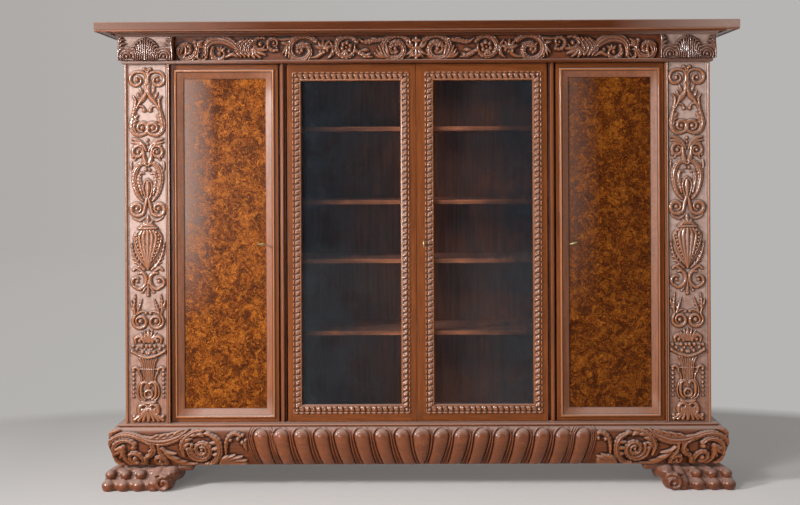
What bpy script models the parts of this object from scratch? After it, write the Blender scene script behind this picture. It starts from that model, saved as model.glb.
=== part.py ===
"""A long carved bookcase with two panelled doors, two glass doors and lion-paw feet.

Places are metres in the cabinet's own frame: X to the right, Y to the back with 0 at the doors'
front faces, Z up from the floor. The root empty then centres the cabinet over the origin.
"""

import math

import bmesh
import bpy
from mathutils import Matrix, Vector

# Clearances and fits
GAP = 0.0003  # between pieces that touch
OVERRUN = 0.010  # how far a cutter runs past what it cuts
WELD = 0.00001
FLAT_ANGLE = 0.001  # radians between faces that lie in one plane
HOUSING_FIT = 0.0003  # round a board's end in its groove
SLIDE_FIT = 0.0004  # round a bolt in its groove
PIN_FIT = 0.0004  # round a pin or a key's shank

# Heights from the floor up
FOOT_HEIGHT = 0.1017
RAIL_HEIGHT = 0.1600
LEDGE_THICK = 0.0100
DOOR_HEIGHT = 1.5112
DOOR_END_GAP = 0.0020
HEAD_THICK = 0.0150
FRIEZE_HEIGHT = 0.0989
COVE_HEIGHT = 0.0168
SLAB_THICK = 0.0372

# Widths from the middle out, and depths from the doors' front faces
CASE_HALF_WIDTH = 1.2345
CASE_DEPTH = 0.4300
PILASTER_WIDTH = 0.1897
PILASTER_REACH = 0.0250
PILASTER_THICK = 0.0550
FIELD_DEPTH = 0.0090
OUTER_FILLET = 0.0180
INNER_FILLET = 0.0140
LEDGE_OVERHANG = 0.0260
LEDGE_REACH = 0.0500
HEAD_OVERHANG = 0.0095
HEAD_REACH = 0.0450
FRIEZE_REACH = 0.0220
FRIEZE_THICK = 0.0250
BLOCK_OVERHANG = 0.0195
BLOCK_REACH = 0.0500
BLOCK_WIDTH = 0.2330
COVE_OVERHANG = 0.0260
COVE_REACH = 0.0580
COVE_SPREAD = 0.0290
SLAB_OVERHANG = 0.1005
SLAB_REACH = 0.1370
SLAB_EDGE = 0.0060
SLAB_BOARD = 0.0220
RAIL_BULGE = 0.0310
RAIL_THICK = 0.0450
BOARD_CORE = 0.0200
HEAD_EDGE = 0.0060

# Boards
SIDE_THICK = 0.0250
PARTITION_THICK = 0.0260
PARTITION_MIDDLE = 0.5710
PARTITION_SETBACK = 0.0200
BEAD_MIDDLE = 0.5720
BEAD_WIDTH = 0.0152
BEAD_REACH = 0.0030
BEAD_QUIRK = 0.0010
BACK_THICK = 0.0120
BASE_BACK_THICK = 0.0220
SHELF_THICK = 0.0180
SHELF_SETBACK = 0.0600
SHELF_HOUSING = 0.0060
CENTRE_SHELF_SHARES = (0.2419, 0.4453, 0.6117, 0.8190)  # of the inside height, behind the glass doors
SIDE_SHELF_SHARES = (0.34, 0.66)  # of the inside height, behind each panelled door

# Doors
DOOR_THICK = 0.0260
SIDE_GAP = 0.0023
PANEL_DOOR_INNER = 0.5880
GLASS_DOOR_OUTER = 0.5500
MEETING_SHIFT = -0.0040  # where the glass doors meet, off the middle
MEETING_GAP = 0.0020
PANEL_MARGINS = {"hinge": 0.0180, "free": 0.0190, "low": 0.0190, "top": 0.0240}
GLASS_LEFT_MARGINS = {"hinge": 0.0220, "free": 0.0270, "low": 0.0310, "top": 0.0325}
GLASS_RIGHT_MARGINS = {"hinge": 0.0220, "free": 0.0360, "low": 0.0310, "top": 0.0325}
PANEL_MOULDING = 0.0350
GLASS_MOULDING = 0.0385
MOULDING_RISE = 0.0080
MOULDING_BACK = 0.0135
MOULDING_LIP = 0.0120
REBATE = 0.0200
PANEL_THICK = 0.0070
GLASS_THICK = 0.0040
# across the moulding from its outer edge, and its height from its back (0) to its ridge (1)
BOLECTION_SHARES = (
    (0, 0.80), (0.10, 1), (0.24, 0.97), (0.34, 0.78), (0.50, 0.74), (0.66, 0.50), (0.84, 0.40), (1, 0.16)
)

# Pivots, one under and one over each door
PIN_INSET = 0.0180
PIN_DEPTH = 0.0065
PIN_RADIUS = 0.0030
PIN_LENGTH = 0.0160
PLATE_LENGTH = 0.0280
PLATE_WIDTH = 0.0110
PLATE_THICK = 0.0012

# Locks and keys
KEY_LEVEL = 1.0270
PANEL_KEY_INSET = 0.0690
GLASS_KEY_INSET = 0.0295
CASE_SETBACK = 0.0020
LOCK_BESIDE_KEY = 0.0240
LOCK_HALF_HEIGHT = 0.0280
LOCK_THICK = 0.0140
LOCK_WALL = 0.0040
CHAMBER_RADIUS = 0.0085
BOLT_HEIGHT = 0.0110
BOLT_THICK = 0.0060
BOLT_LENGTH = 0.0360
BOLT_ABOVE_KEY = 0.0105
BOLT_THROW = 0.0120
SHANK_RADIUS = 0.0026
SHANK_REACH = 0.0260
COLLAR_RADIUS = 0.0048
COLLAR_THICK = 0.0030
BIT_REACH = 0.0075
BIT_THICK = 0.0022
BIT_LENGTH = 0.0050
BOW_RADIUS = 0.0140
BOW_WIRE = 0.0026
BOW_STRETCH_SHARE = 1.15
KEY_TURNS = {"left": 8, "centre": 90, "right": -14}  # degrees of each key's bow from level

# Flush bolts in the left glass door's meeting stile
FLUSH_WIDTH = 0.0080
FLUSH_THICK = 0.0050
FLUSH_LENGTH = 0.1500
FLUSH_INSET = 0.0140
FLUSH_THROW = 0.0120
FLUSH_END_GAP = 0.0005
KNOB_RADIUS = 0.0035
KNOB_LENGTH = 0.0080
KNOB_INSET = 0.0120

# Feet
PAW_OVERHANG = 0.0925
PAW_WIDTH = 0.2750
PAW_REACH = 0.1000
PAW_DEPTH = 0.2100
TOES = 4
TOE_RADIUS = 0.0345
TOE_PITCH = 0.0615
TOE_HEIGHT = 0.0600
TOE_LENGTH = 0.0900
KNUCKLE_RADIUS = 0.0310
KNUCKLE_SETBACK = 0.0200
INSTEP_SETBACK = 0.0450
INSTEP_EDGE = 0.0120
SOLE = 0.0030
REAR_FOOT_WIDTH = 0.1300
REAR_FOOT_TAPER = 0.0120
REAR_FOOT_INSET = 0.0200

# Places that follow from the sizes
RAIL_LOW = FOOT_HEIGHT + GAP
RAIL_TOP = RAIL_LOW + RAIL_HEIGHT
LEDGE_LOW = RAIL_TOP + GAP
LEDGE_TOP = LEDGE_LOW + LEDGE_THICK
DOOR_LOW = LEDGE_TOP + DOOR_END_GAP
DOOR_TOP = DOOR_LOW + DOOR_HEIGHT
HEAD_LOW = DOOR_TOP + DOOR_END_GAP
HEAD_TOP = HEAD_LOW + HEAD_THICK
FRIEZE_LOW = HEAD_TOP + GAP
FRIEZE_TOP = FRIEZE_LOW + FRIEZE_HEIGHT
CORNICE_LOW = FRIEZE_TOP + GAP
COVE_TOP = CORNICE_LOW + COVE_HEIGHT
CORNICE_TOP = COVE_TOP + SLAB_THICK
BOARDS_LOW = LEDGE_TOP + GAP
BOARDS_TOP = HEAD_LOW - GAP
LEDGE_HALF_WIDTH = CASE_HALF_WIDTH + LEDGE_OVERHANG
PAW_OUTER = CASE_HALF_WIDTH + PAW_OVERHANG
SIDE_INNER = CASE_HALF_WIDTH - SIDE_THICK
PILASTER_INNER = CASE_HALF_WIDTH - PILASTER_WIDTH
PILASTER_BACK = PILASTER_THICK - PILASTER_REACH
BACK_FRONT = CASE_DEPTH - BACK_THICK
PARTITION_INNER = PARTITION_MIDDLE - PARTITION_THICK / 2
PARTITION_OUTER = PARTITION_MIDDLE + PARTITION_THICK / 2
PANEL_DOOR_OUTER = PILASTER_INNER - SIDE_GAP
PANEL_FRONT = MOULDING_BACK + GAP
LOCK_FRONT = DOOR_THICK + GAP
LOCK_BACK = LOCK_FRONT + LOCK_THICK
BOLT_FRONT = LOCK_FRONT + LOCK_WALL
BOLT_LEVEL = KEY_LEVEL + BOLT_ABOVE_KEY
FLUSH_FRONT = DOOR_THICK - GAP - FLUSH_THICK
KNOB_BACK = DOOR_THICK - GAP + KNOB_LENGTH

PARTS = bpy.data.collections.new("bookcase_with_glass_doors")
CUTTERS = bpy.data.collections.new("cutters")
PLACES = {}


def clear_scene():
    for obj in list(bpy.data.objects):
        bpy.data.objects.remove(obj)
    for collection in (PARTS, CUTTERS):
        bpy.context.scene.collection.children.link(collection)


def principled(name, colour, roughness, metallic=0.0, alpha=1.0):
    look = bpy.data.materials.new(name)
    look.use_nodes = True
    shader = look.node_tree.nodes["Principled BSDF"]
    shader.inputs["Base Color"].default_value = (*colour, 1)
    shader.inputs["Roughness"].default_value = roughness
    shader.inputs["Metallic"].default_value = metallic
    shader.inputs["Alpha"].default_value = alpha
    return look


LOOKS = {
    "wood": ((0.24, 0.072, 0.023), 0.35, 0.0, 1.0),
    "dark_wood": ((0.07, 0.028, 0.014), 0.6, 0.0, 1.0),
    "burl": ((0.20, 0.055, 0.014), 0.3, 0.0, 1.0),
    "glass": ((0.8, 0.85, 0.85), 0.05, 0.0, 0.35),
    "brass": ((0.55, 0.40, 0.17), 0.35, 1.0, 1.0),
    "iron": ((0.10, 0.09, 0.08), 0.5, 1.0, 1.0),
}


def empty(name, place, parent=None):
    """An empty at a cabinet place, that the pieces turning or sliding with it hang on."""
    holder = bpy.data.objects.new(name, None)
    PARTS.objects.link(holder)
    PLACES[name] = Vector(place)
    if parent:
        holder.parent = parent
        holder.location = PLACES[name] - PLACES[parent.name]
    return holder


def piece(name, mesh, look, parent, smooth=False):
    """A part with its own material, its mesh given in cabinet places and its origin on its parent."""
    mesh.name = name
    mesh.transform(Matrix.Translation(-PLACES[parent.name]))
    if smooth:
        mesh.shade_smooth()
        mesh.set_sharp_from_angle(angle=math.radians(40))
    mesh.materials.append(principled(name, *LOOKS[look]))
    obj = bpy.data.objects.new(name, mesh)
    obj.parent = parent
    PARTS.objects.link(obj)
    return obj


def helper(name, mesh, parent):
    """A shape that only cuts a part or joins it."""
    mesh.name = name
    mesh.transform(Matrix.Translation(-PLACES[parent.name]))
    obj = bpy.data.objects.new(name, mesh)
    obj.parent = parent
    obj.hide_render = True
    obj.display_type = "WIRE"
    CUTTERS.objects.link(obj)
    return obj


def boolean(obj, other, operation="DIFFERENCE"):
    step = obj.modifiers.new(other.name, "BOOLEAN")
    step.operation = operation
    step.solver = "EXACT"
    step.object = other


def mesh_of(bm):
    """The finished mesh, all of its faces turned outwards."""
    bmesh.ops.recalc_face_normals(bm, faces=bm.faces[:])
    if bm.calc_volume(signed=True) < 0:
        bmesh.ops.reverse_faces(bm, faces=bm.faces[:])
    mesh = bpy.data.meshes.new("shape")
    bm.to_mesh(mesh)
    bm.free()
    return mesh


def box(low, high, edge=0.0):
    """A box between two opposite corners, given in any order, with rounded edges if asked."""
    bm = bmesh.new()
    bmesh.ops.create_cube(bm, size=1)
    low, high = Vector(low), Vector(high)
    size = [abs(b - a) for a, b in zip(low, high)]
    bm.transform(Matrix.Translation((low + high) / 2) @ Matrix.Diagonal((*size, 1)))
    if edge:
        bmesh.ops.bevel(bm, geom=bm.edges[:], offset=edge, segments=2, profile=0.5, affect="EDGES")
    return mesh_of(bm)


def ellipsoid(middle, radii, flat_below=None):
    """A stretched sphere, cut flat at a height if asked."""
    bm = bmesh.new()
    bmesh.ops.create_uvsphere(bm, u_segments=14, v_segments=8, radius=1)
    bm.transform(Matrix.Translation(middle) @ Matrix.Diagonal((*radii, 1)))
    if flat_below is not None:
        geom = bm.verts[:] + bm.edges[:] + bm.faces[:]
        level, down = (0, 0, flat_below), (0, 0, -1)
        cut = bmesh.ops.bisect_plane(bm, geom=geom, plane_co=level, plane_no=down, clear_outer=True)
        rim = [item for item in cut["geom_cut"] if isinstance(item, bmesh.types.BMEdge)]
        bmesh.ops.holes_fill(bm, edges=rim)
    return mesh_of(bm)


def cylinder(start, end, radius, segments=16):
    """A round bar between two points."""
    start, end = Vector(start), Vector(end)
    bm = bmesh.new()
    length = (end - start).length
    bmesh.ops.create_cone(bm, cap_ends=True, segments=segments, radius1=radius, radius2=radius, depth=length)
    turn = Vector((0, 0, 1)).rotation_difference(end - start).to_matrix().to_4x4()
    bm.transform(Matrix.Translation((start + end) / 2) @ turn)
    return mesh_of(bm)


def prism(points, depth):
    """A flat outline in X and Y, filled and extruded from Z 0 up to the depth."""
    curve = bpy.data.curves.new("outline", "CURVE")
    curve.dimensions = "2D"
    curve.fill_mode = "BOTH"
    curve.extrude = depth / 2
    spline = curve.splines.new("POLY")
    spline.points.add(len(points) - 1)
    for point, (x, y) in zip(spline.points, points):
        point.co = (x, y, 0, 1)
    spline.use_cyclic_u = True
    holder = bpy.data.objects.new("outline", curve)
    bpy.context.scene.collection.objects.link(holder)
    graph = bpy.context.evaluated_depsgraph_get()
    made = bpy.data.meshes.new_from_object(holder.evaluated_get(graph))
    bpy.data.objects.remove(holder)
    bpy.data.curves.remove(curve)
    bm = bmesh.new()
    bm.from_mesh(made)
    bpy.data.meshes.remove(made)
    bmesh.ops.remove_doubles(bm, verts=bm.verts[:], dist=WELD)
    caps = [edge for edge in bm.edges if edge.calc_face_angle() < FLAT_ANGLE]
    bmesh.ops.dissolve_edges(bm, edges=caps, use_verts=False)
    bmesh.ops.translate(bm, verts=bm.verts[:], vec=(0, 0, depth / 2))
    return mesh_of(bm)


def board_stack(rings, back):
    """A board with a moulded front and ends. Each ring is (half width, reach, height), bottom to top."""
    bm = bmesh.new()
    bmesh.ops.create_grid(bm, x_segments=1, y_segments=1, size=1)
    loop, verts = bm.edges[:], bm.verts[:]
    for level, (half_width, reach, height) in enumerate(rings):
        if level:
            loop, verts = extruded(bm, loop)
        middle = sum(vert.co.y for vert in verts) / len(verts)
        for vert in verts:
            front = vert.co.y < middle
            vert.co = (math.copysign(half_width, vert.co.x), -reach if front else back, height)
    bmesh.ops.edgeloop_fill(bm, edges=loop)
    return mesh_of(bm)


def extruded(bm, loop):
    """The edges and points that an edge loop gives when it is extruded."""
    made = bmesh.ops.extrude_edge_only(bm, edges=loop)["geom"]
    edges = [item for item in made if isinstance(item, bmesh.types.BMEdge)]
    verts = [item for item in made if isinstance(item, bmesh.types.BMVert)]
    return edges, verts


def mitred_frame(low, high, section):
    """A closed moulding round a rectangle in X and Z. The section is (inset, Y) points, a closed loop."""
    bm = bmesh.new()
    bmesh.ops.create_grid(bm, x_segments=1, y_segments=1, size=1)
    bm.transform(Matrix.Rotation(math.radians(90), 4, "X"))
    bmesh.ops.delete(bm, geom=bm.faces[:], context="FACES_ONLY")
    loop = bm.edges[:]
    middle = ((low[0] + high[0]) / 2, (low[1] + high[1]) / 2)
    corners = {vert: (vert.co.x > 0, vert.co.z > 0) for vert in bm.verts}
    for step, (inset, depth) in enumerate((*section, section[0])):
        if step:
            loop, verts = extruded(bm, loop)
            corners = {vert: (vert.co.x > middle[0], vert.co.z > middle[1]) for vert in verts}
        for vert, (right, upper) in corners.items():
            x = high[0] - inset if right else low[0] + inset
            z = high[1] - inset if upper else low[1] + inset
            vert.co = (x, depth, z)
    bmesh.ops.remove_doubles(bm, verts=bm.verts[:], dist=WELD)
    return mesh_of(bm)


def moved(mesh, matrix):
    mesh.transform(matrix)
    if matrix.determinant() < 0:
        mesh.flip_normals()
    return mesh


def rail_section():
    """The swelling base rail: (outward from the ledge's edge, height), a closed outline."""
    bulge_shares = ((0, 0.42), (0.08, 0.85), (0.30, 1), (0.53, 0.88), (0.77, 0.50), (0.92, 0.0), (1, -0.25))
    front = [(share * RAIL_BULGE, RAIL_TOP - down * RAIL_HEIGHT) for down, share in bulge_shares]
    return [(-RAIL_THICK, RAIL_TOP), *front, (-RAIL_THICK, RAIL_LOW)]


def make_base(root):
    """The swelling front rail, its two returns mitred to it, and a plain back rail."""
    section = rail_section()
    along_x = Matrix(((0, 0, 1, -LEDGE_HALF_WIDTH), (-1, 0, 0, -LEDGE_REACH), (0, 1, 0, 0), (0, 0, 0, 1)))
    front = moved(prism(section, 2 * LEDGE_HALF_WIDTH), along_x)
    for vert in front.vertices:
        outward = -vert.co.y - LEDGE_REACH
        vert.co.x = math.copysign(LEDGE_HALF_WIDTH + outward - GAP, vert.co.x)
    piece("base_front", front, "wood", root)
    run = CASE_DEPTH + LEDGE_REACH
    for side, name in ((-1, "base_side_l"), (1, "base_side_r")):
        across = (side, 0, 0, side * LEDGE_HALF_WIDTH)
        along_y = Matrix((across, (0, 0, 1, -LEDGE_REACH), (0, 1, 0, 0), (0, 0, 0, 1)))
        mesh = moved(prism(section, run), along_y)
        for vert in mesh.vertices:
            if vert.co.y < 0:
                outward = side * vert.co.x - LEDGE_HALF_WIDTH
                vert.co.y = -LEDGE_REACH - outward + GAP
        piece(name, mesh, "wood", root)
    inner = LEDGE_HALF_WIDTH - RAIL_THICK - GAP
    back_top = LEDGE_TOP - BOARD_CORE - LEDGE_THICK - GAP
    piece(
        "base_back",
        box((-inner, CASE_DEPTH - BASE_BACK_THICK, RAIL_LOW), (inner, CASE_DEPTH, back_top)),
        "dark_wood",
        root,
    )


def make_paw(side, name, root):
    """A lion's paw: toes side by side under their knuckles, on a block that carries the corner."""
    outer = side * PAW_OUTER
    reach = -PAW_REACH
    inner = side * (PAW_OUTER - PAW_WIDTH)
    block_outer = outer - side * TOE_RADIUS / 2
    sole = (block_outer, reach + INSTEP_SETBACK, 0)
    body = box(sole, (inner, reach + PAW_DEPTH, FOOT_HEIGHT), INSTEP_EDGE)
    paw = piece(name, body, "wood", root, smooth=True)
    for toe in range(TOES):
        x = outer - side * (TOE_RADIUS + toe * TOE_PITCH)
        middle = (x, reach + TOE_LENGTH / 2, TOE_HEIGHT / 2 - SOLE)
        pad = ellipsoid(middle, (TOE_RADIUS, TOE_LENGTH / 2, TOE_HEIGHT / 2), 0)
        boolean(paw, helper(f"{name}_toe_{toe}", pad, root), "UNION")
        over = (x - side * TOE_RADIUS / 8, middle[1] + KNUCKLE_SETBACK, FOOT_HEIGHT - KNUCKLE_RADIUS - SOLE)
        knuckle = ellipsoid(over, (KNUCKLE_RADIUS, TOE_LENGTH / 2, KNUCKLE_RADIUS))
        boolean(paw, helper(f"{name}_knuckle_{toe}", knuckle, root), "UNION")


def make_feet(root):
    for side, end in ((-1, "l"), (1, "r")):
        make_paw(side, f"paw_foot_{end}", root)
        outer = LEDGE_HALF_WIDTH - REAR_FOOT_INSET
        middle = side * (outer - REAR_FOOT_WIDTH / 2)
        half = REAR_FOOT_WIDTH / 2
        low_half = half - REAR_FOOT_TAPER
        back = CASE_DEPTH - REAR_FOOT_INSET
        front = back - REAR_FOOT_WIDTH
        rings = ((low_half, -(front + REAR_FOOT_TAPER), 0), (half, -front, FOOT_HEIGHT))
        foot = moved(board_stack(rings, back), Matrix.Translation((middle, 0, 0)))
        piece(f"rear_foot_{end}", foot, "dark_wood", root)


def make_case(root):
    """The boards: a ledge below, a head above, sides, partitions with their beads, the back."""
    core_half = LEDGE_HALF_WIDTH - RAIL_THICK - GAP
    core_reach = LEDGE_REACH - RAIL_THICK - GAP
    core_low = LEDGE_LOW - BOARD_CORE
    step = LEDGE_THICK / 3
    ledge = board_stack(
        (
            (core_half, core_reach, core_low),
            (core_half, core_reach, LEDGE_LOW),
            (LEDGE_HALF_WIDTH - step, LEDGE_REACH - step, LEDGE_LOW + GAP),
            (LEDGE_HALF_WIDTH, LEDGE_REACH, LEDGE_LOW + step),
            (LEDGE_HALF_WIDTH, LEDGE_REACH, LEDGE_TOP - step),
            (LEDGE_HALF_WIDTH - step, LEDGE_REACH - step, LEDGE_TOP),
        ),
        CASE_DEPTH,
    )
    bottom = piece("bottom_board", ledge, "wood", root)
    head_half = CASE_HALF_WIDTH + HEAD_OVERHANG
    head = board_stack(
        (
            (head_half - HEAD_EDGE, HEAD_REACH - HEAD_EDGE, HEAD_LOW),
            (head_half, HEAD_REACH, HEAD_LOW + HEAD_THICK / 4),
            (head_half, HEAD_REACH, HEAD_TOP - HEAD_THICK / 4),
            (head_half - HEAD_EDGE, HEAD_REACH - HEAD_EDGE, HEAD_TOP),
        ),
        BACK_FRONT - GAP,
    )
    top = piece("top_board", head, "wood", root)
    boards = {}
    for side, end in ((-1, "l"), (1, "r")):
        low = (side * SIDE_INNER, PILASTER_BACK + GAP, BOARDS_LOW)
        high = (side * CASE_HALF_WIDTH, CASE_DEPTH, BOARDS_TOP)
        boards[f"side_{end}"] = piece(f"side_{end}", box(low, high), "wood", root)
        boards[f"partition_{end}"] = make_partition(side, f"partition_{end}", root)
    panel_half = SIDE_INNER - GAP
    back = box((-panel_half, BACK_FRONT, BOARDS_LOW), (panel_half, CASE_DEPTH, FRIEZE_TOP))
    piece("back_panel", back, "dark_wood", root)
    return bottom, top, boards


def make_partition(side, name, root):
    """An upright board whose front edge carries a narrow round-nosed bead between the doors."""
    near, far = PARTITION_INNER, PARTITION_OUTER
    bead_low = BEAD_MIDDLE - BEAD_WIDTH / 2
    bead_high = BEAD_MIDDLE + BEAD_WIDTH / 2
    nose = BEAD_WIDTH / 4
    back = BACK_FRONT - GAP
    outline = [
        (near, back),
        (near, PARTITION_SETBACK),
        (bead_low, PARTITION_SETBACK + BEAD_QUIRK),
        (bead_low, nose - BEAD_REACH),
        (bead_low + nose, -BEAD_REACH),
        (bead_high - nose, -BEAD_REACH),
        (bead_high, nose - BEAD_REACH),
        (bead_high, PARTITION_SETBACK + BEAD_QUIRK),
        (far, PARTITION_SETBACK),
        (far, back),
    ]
    mesh = prism([(side * x, y) for x, y in outline], BOARDS_TOP - BOARDS_LOW)
    partition = piece(name, moved(mesh, Matrix.Translation((0, 0, BOARDS_LOW))), "wood", root)
    reach = (PANEL_DOOR_INNER - PARTITION_OUTER) / 2 + BOLT_THROW
    low = (side * (PARTITION_OUTER - reach), BOLT_FRONT - 2 * SLIDE_FIT, BOLT_LEVEL - 2 * SLIDE_FIT)
    high_y = BOLT_FRONT + BOLT_THICK + 2 * SLIDE_FIT
    high = (side * (PARTITION_OUTER + OVERRUN), high_y, BOLT_LEVEL + BOLT_HEIGHT + 2 * SLIDE_FIT)
    boolean(partition, helper(f"{name}_mortise", box(low, high), root))
    return partition


def make_shelf(name, ends, level, boards, root):
    """A shelf housed in a groove in the board at each end. The ends are those boards' faces."""
    low_x, high_x = ends[0] - SHELF_HOUSING, ends[1] + SHELF_HOUSING
    half = SHELF_THICK / 2
    back = BACK_FRONT - GAP
    shelf = box((low_x, SHELF_SETBACK, level - half), (high_x, back, level + half))
    piece(name, shelf, "wood", root)
    fit = HOUSING_FIT
    low = (low_x - fit, SHELF_SETBACK - fit, level - half - fit)
    groove = helper(f"{name}_groove", box(low, (high_x + fit, back + OVERRUN, level + half + fit)), root)
    for board in boards:
        boolean(board, groove)


def make_shelves(boards, root):
    middle = (boards["partition_l"], boards["partition_r"])
    for number, share in enumerate(CENTRE_SHELF_SHARES, 1):
        level = BOARDS_LOW + share * (BOARDS_TOP - BOARDS_LOW)
        make_shelf(f"centre_shelf_{number}", (-PARTITION_INNER, PARTITION_INNER), level, middle, root)
    for number, share in enumerate(SIDE_SHELF_SHARES, 1):
        level = BOARDS_LOW + share * (BOARDS_TOP - BOARDS_LOW)
        left = (boards["side_l"], boards["partition_l"])
        right = (boards["side_r"], boards["partition_r"])
        make_shelf(f"left_shelf_{number}", (-SIDE_INNER, -PARTITION_OUTER), level, left, root)
        make_shelf(f"right_shelf_{number}", (PARTITION_OUTER, SIDE_INNER), level, right, root)


def make_pilasters(root):
    """Each pilaster is a thick board with a raised fillet down both edges of a sunk field."""
    for side, end in ((-1, "l"), (1, "r")):
        inner, outer = PILASTER_INNER, CASE_HALF_WIDTH
        front = -PILASTER_REACH
        outline = [
            (inner, front),
            (inner + INNER_FILLET, front),
            (inner + INNER_FILLET, front + FIELD_DEPTH),
            (outer - OUTER_FILLET, front + FIELD_DEPTH),
            (outer - OUTER_FILLET, front),
            (outer, front),
            (outer, PILASTER_BACK),
            (inner, PILASTER_BACK),
        ]
        mesh = prism([(side * x, y) for x, y in outline], BOARDS_TOP - BOARDS_LOW)
        piece(f"pilaster_{end}", moved(mesh, Matrix.Translation((0, 0, BOARDS_LOW))), "wood", root)


def make_frieze(root):
    """The frieze board between two corner blocks, each with its return along the case's side."""
    block_outer = CASE_HALF_WIDTH + BLOCK_OVERHANG
    block_inner = block_outer - BLOCK_WIDTH
    half = block_inner - GAP
    back = FRIEZE_THICK - FRIEZE_REACH
    piece("frieze_rail", box((-half, -FRIEZE_REACH, FRIEZE_LOW), (half, back, FRIEZE_TOP)), "wood", root)
    for side, end in ((-1, "l"), (1, "r")):
        outline = [
            (block_inner, -BLOCK_REACH),
            (block_outer, -BLOCK_REACH),
            (block_outer, PILASTER_BACK),
            (CASE_HALF_WIDTH, PILASTER_BACK),
            (CASE_HALF_WIDTH, CASE_DEPTH),
            (SIDE_INNER, CASE_DEPTH),
            (SIDE_INNER, PILASTER_BACK),
            (block_inner, PILASTER_BACK),
        ]
        mesh = prism([(side * x, y) for x, y in outline], FRIEZE_HEIGHT)
        piece(f"corner_block_{end}", moved(mesh, Matrix.Translation((0, 0, FRIEZE_LOW))), "wood", root)


def make_cornice(root):
    """A hollow cove under a thick flat slab, open underneath between its walls."""
    rings = []
    steps = 5
    for step in range(steps + 1):
        turn = math.radians(90) * step / steps
        out = COVE_SPREAD * (1 - math.cos(turn))
        rings.append(
            (
                CASE_HALF_WIDTH + COVE_OVERHANG + out,
                COVE_REACH + out,
                CORNICE_LOW + COVE_HEIGHT * math.sin(turn),
            )
        )
    half, reach = CASE_HALF_WIDTH + SLAB_OVERHANG, SLAB_REACH
    rings += [
        (half - SLAB_EDGE, reach - SLAB_EDGE, COVE_TOP + GAP),
        (half, reach, COVE_TOP + SLAB_EDGE),
        (half, reach, CORNICE_TOP - SLAB_EDGE / 2),
        (half - SLAB_EDGE / 2, reach - SLAB_EDGE / 2, CORNICE_TOP),
    ]
    cornice = piece("cornice", board_stack(rings, CASE_DEPTH), "wood", root)
    low = (-SIDE_INNER, PILASTER_BACK, CORNICE_LOW - OVERRUN)
    high = (SIDE_INNER, CASE_DEPTH - SIDE_THICK, CORNICE_TOP - SLAB_BOARD)
    boolean(cornice, helper("cornice_hollow", box(low, high), root))


def make_pivots(name, pin_x, root):
    """A small plate fixed under the head and on the ledge, each with a pin into the door's edge."""
    for end, seat, up in (("top", HEAD_LOW, -1), ("low", LEDGE_TOP, 1)):
        face = seat + up * GAP
        rise = face + up * PLATE_THICK
        low = (pin_x - PLATE_LENGTH / 2, PIN_DEPTH - PLATE_WIDTH / 2, face)
        plate = box(low, (pin_x + PLATE_LENGTH / 2, PIN_DEPTH + PLATE_WIDTH / 2, rise))
        part = piece(f"{name}_pivot_{end}", plate, "brass", root)
        tip = (pin_x, PIN_DEPTH, rise + up * PIN_LENGTH)
        pin = cylinder((pin_x, PIN_DEPTH, (face + rise) / 2), tip, PIN_RADIUS)
        boolean(part, helper(f"{name}_pin_{end}", pin, root), "UNION")


def make_door(name, hinge_x, free_x, margins, width, fill, root):
    """A framed door on its pivot axis, with a mitred moulding and a panel or a pane behind it."""
    toward = math.copysign(1, free_x - hinge_x)
    pin_x = hinge_x + toward * PIN_INSET
    axis = empty(f"{name}_axis", (pin_x, PIN_DEPTH, DOOR_LOW), root)
    at_hinge = hinge_x + toward * margins["hinge"]
    at_free = free_x - toward * margins["free"]
    low_x, high_x = sorted((at_hinge, at_free))
    low_z, high_z = DOOR_LOW + margins["low"], DOOR_TOP - margins["top"]

    frame = piece(f"{name}_frame", box((hinge_x, 0, DOOR_LOW), (free_x, DOOR_THICK, DOOR_TOP)), "wood", axis)
    for cut, inset, back in (
        ("rebate", MOULDING_LIP, MOULDING_BACK + fill["thick"] + 2 * GAP),
        ("opening", REBATE, DOOR_THICK + OVERRUN),
    ):
        low = (low_x + inset, -OVERRUN, low_z + inset)
        boolean(frame, helper(f"{name}_{cut}", box(low, (high_x - inset, back, high_z - inset)), axis))
    for end, edge, up in (("top", DOOR_TOP, -1), ("low", DOOR_LOW, 1)):
        start = (pin_x, PIN_DEPTH, edge - up * OVERRUN)
        end_of_bore = (pin_x, PIN_DEPTH, edge + up * (PIN_LENGTH + 2 * PIN_FIT))
        bore = cylinder(start, end_of_bore, PIN_RADIUS + PIN_FIT)
        boolean(frame, helper(f"{name}_bore_{end}", bore, axis))
    make_pivots(name, pin_x, root)

    rise = MOULDING_BACK + MOULDING_RISE
    front = [(share * width, MOULDING_BACK - height * rise) for share, height in BOLECTION_SHARES]
    lip = MOULDING_LIP + GAP
    section = [(0, -GAP), *front, (width, MOULDING_BACK), (lip, MOULDING_BACK), (lip, -GAP)]
    piece(f"{name}_moulding", mitred_frame((low_x, low_z), (high_x, high_z), section), "wood", axis)

    inset = MOULDING_LIP + GAP
    low = (low_x + inset, PANEL_FRONT, low_z + inset)
    high = (high_x - inset, PANEL_FRONT + fill["thick"], high_z - inset)
    filling = piece(f"{name}_{fill['name']}", box(low, high), fill["look"], axis)
    return axis, frame, filling


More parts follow.
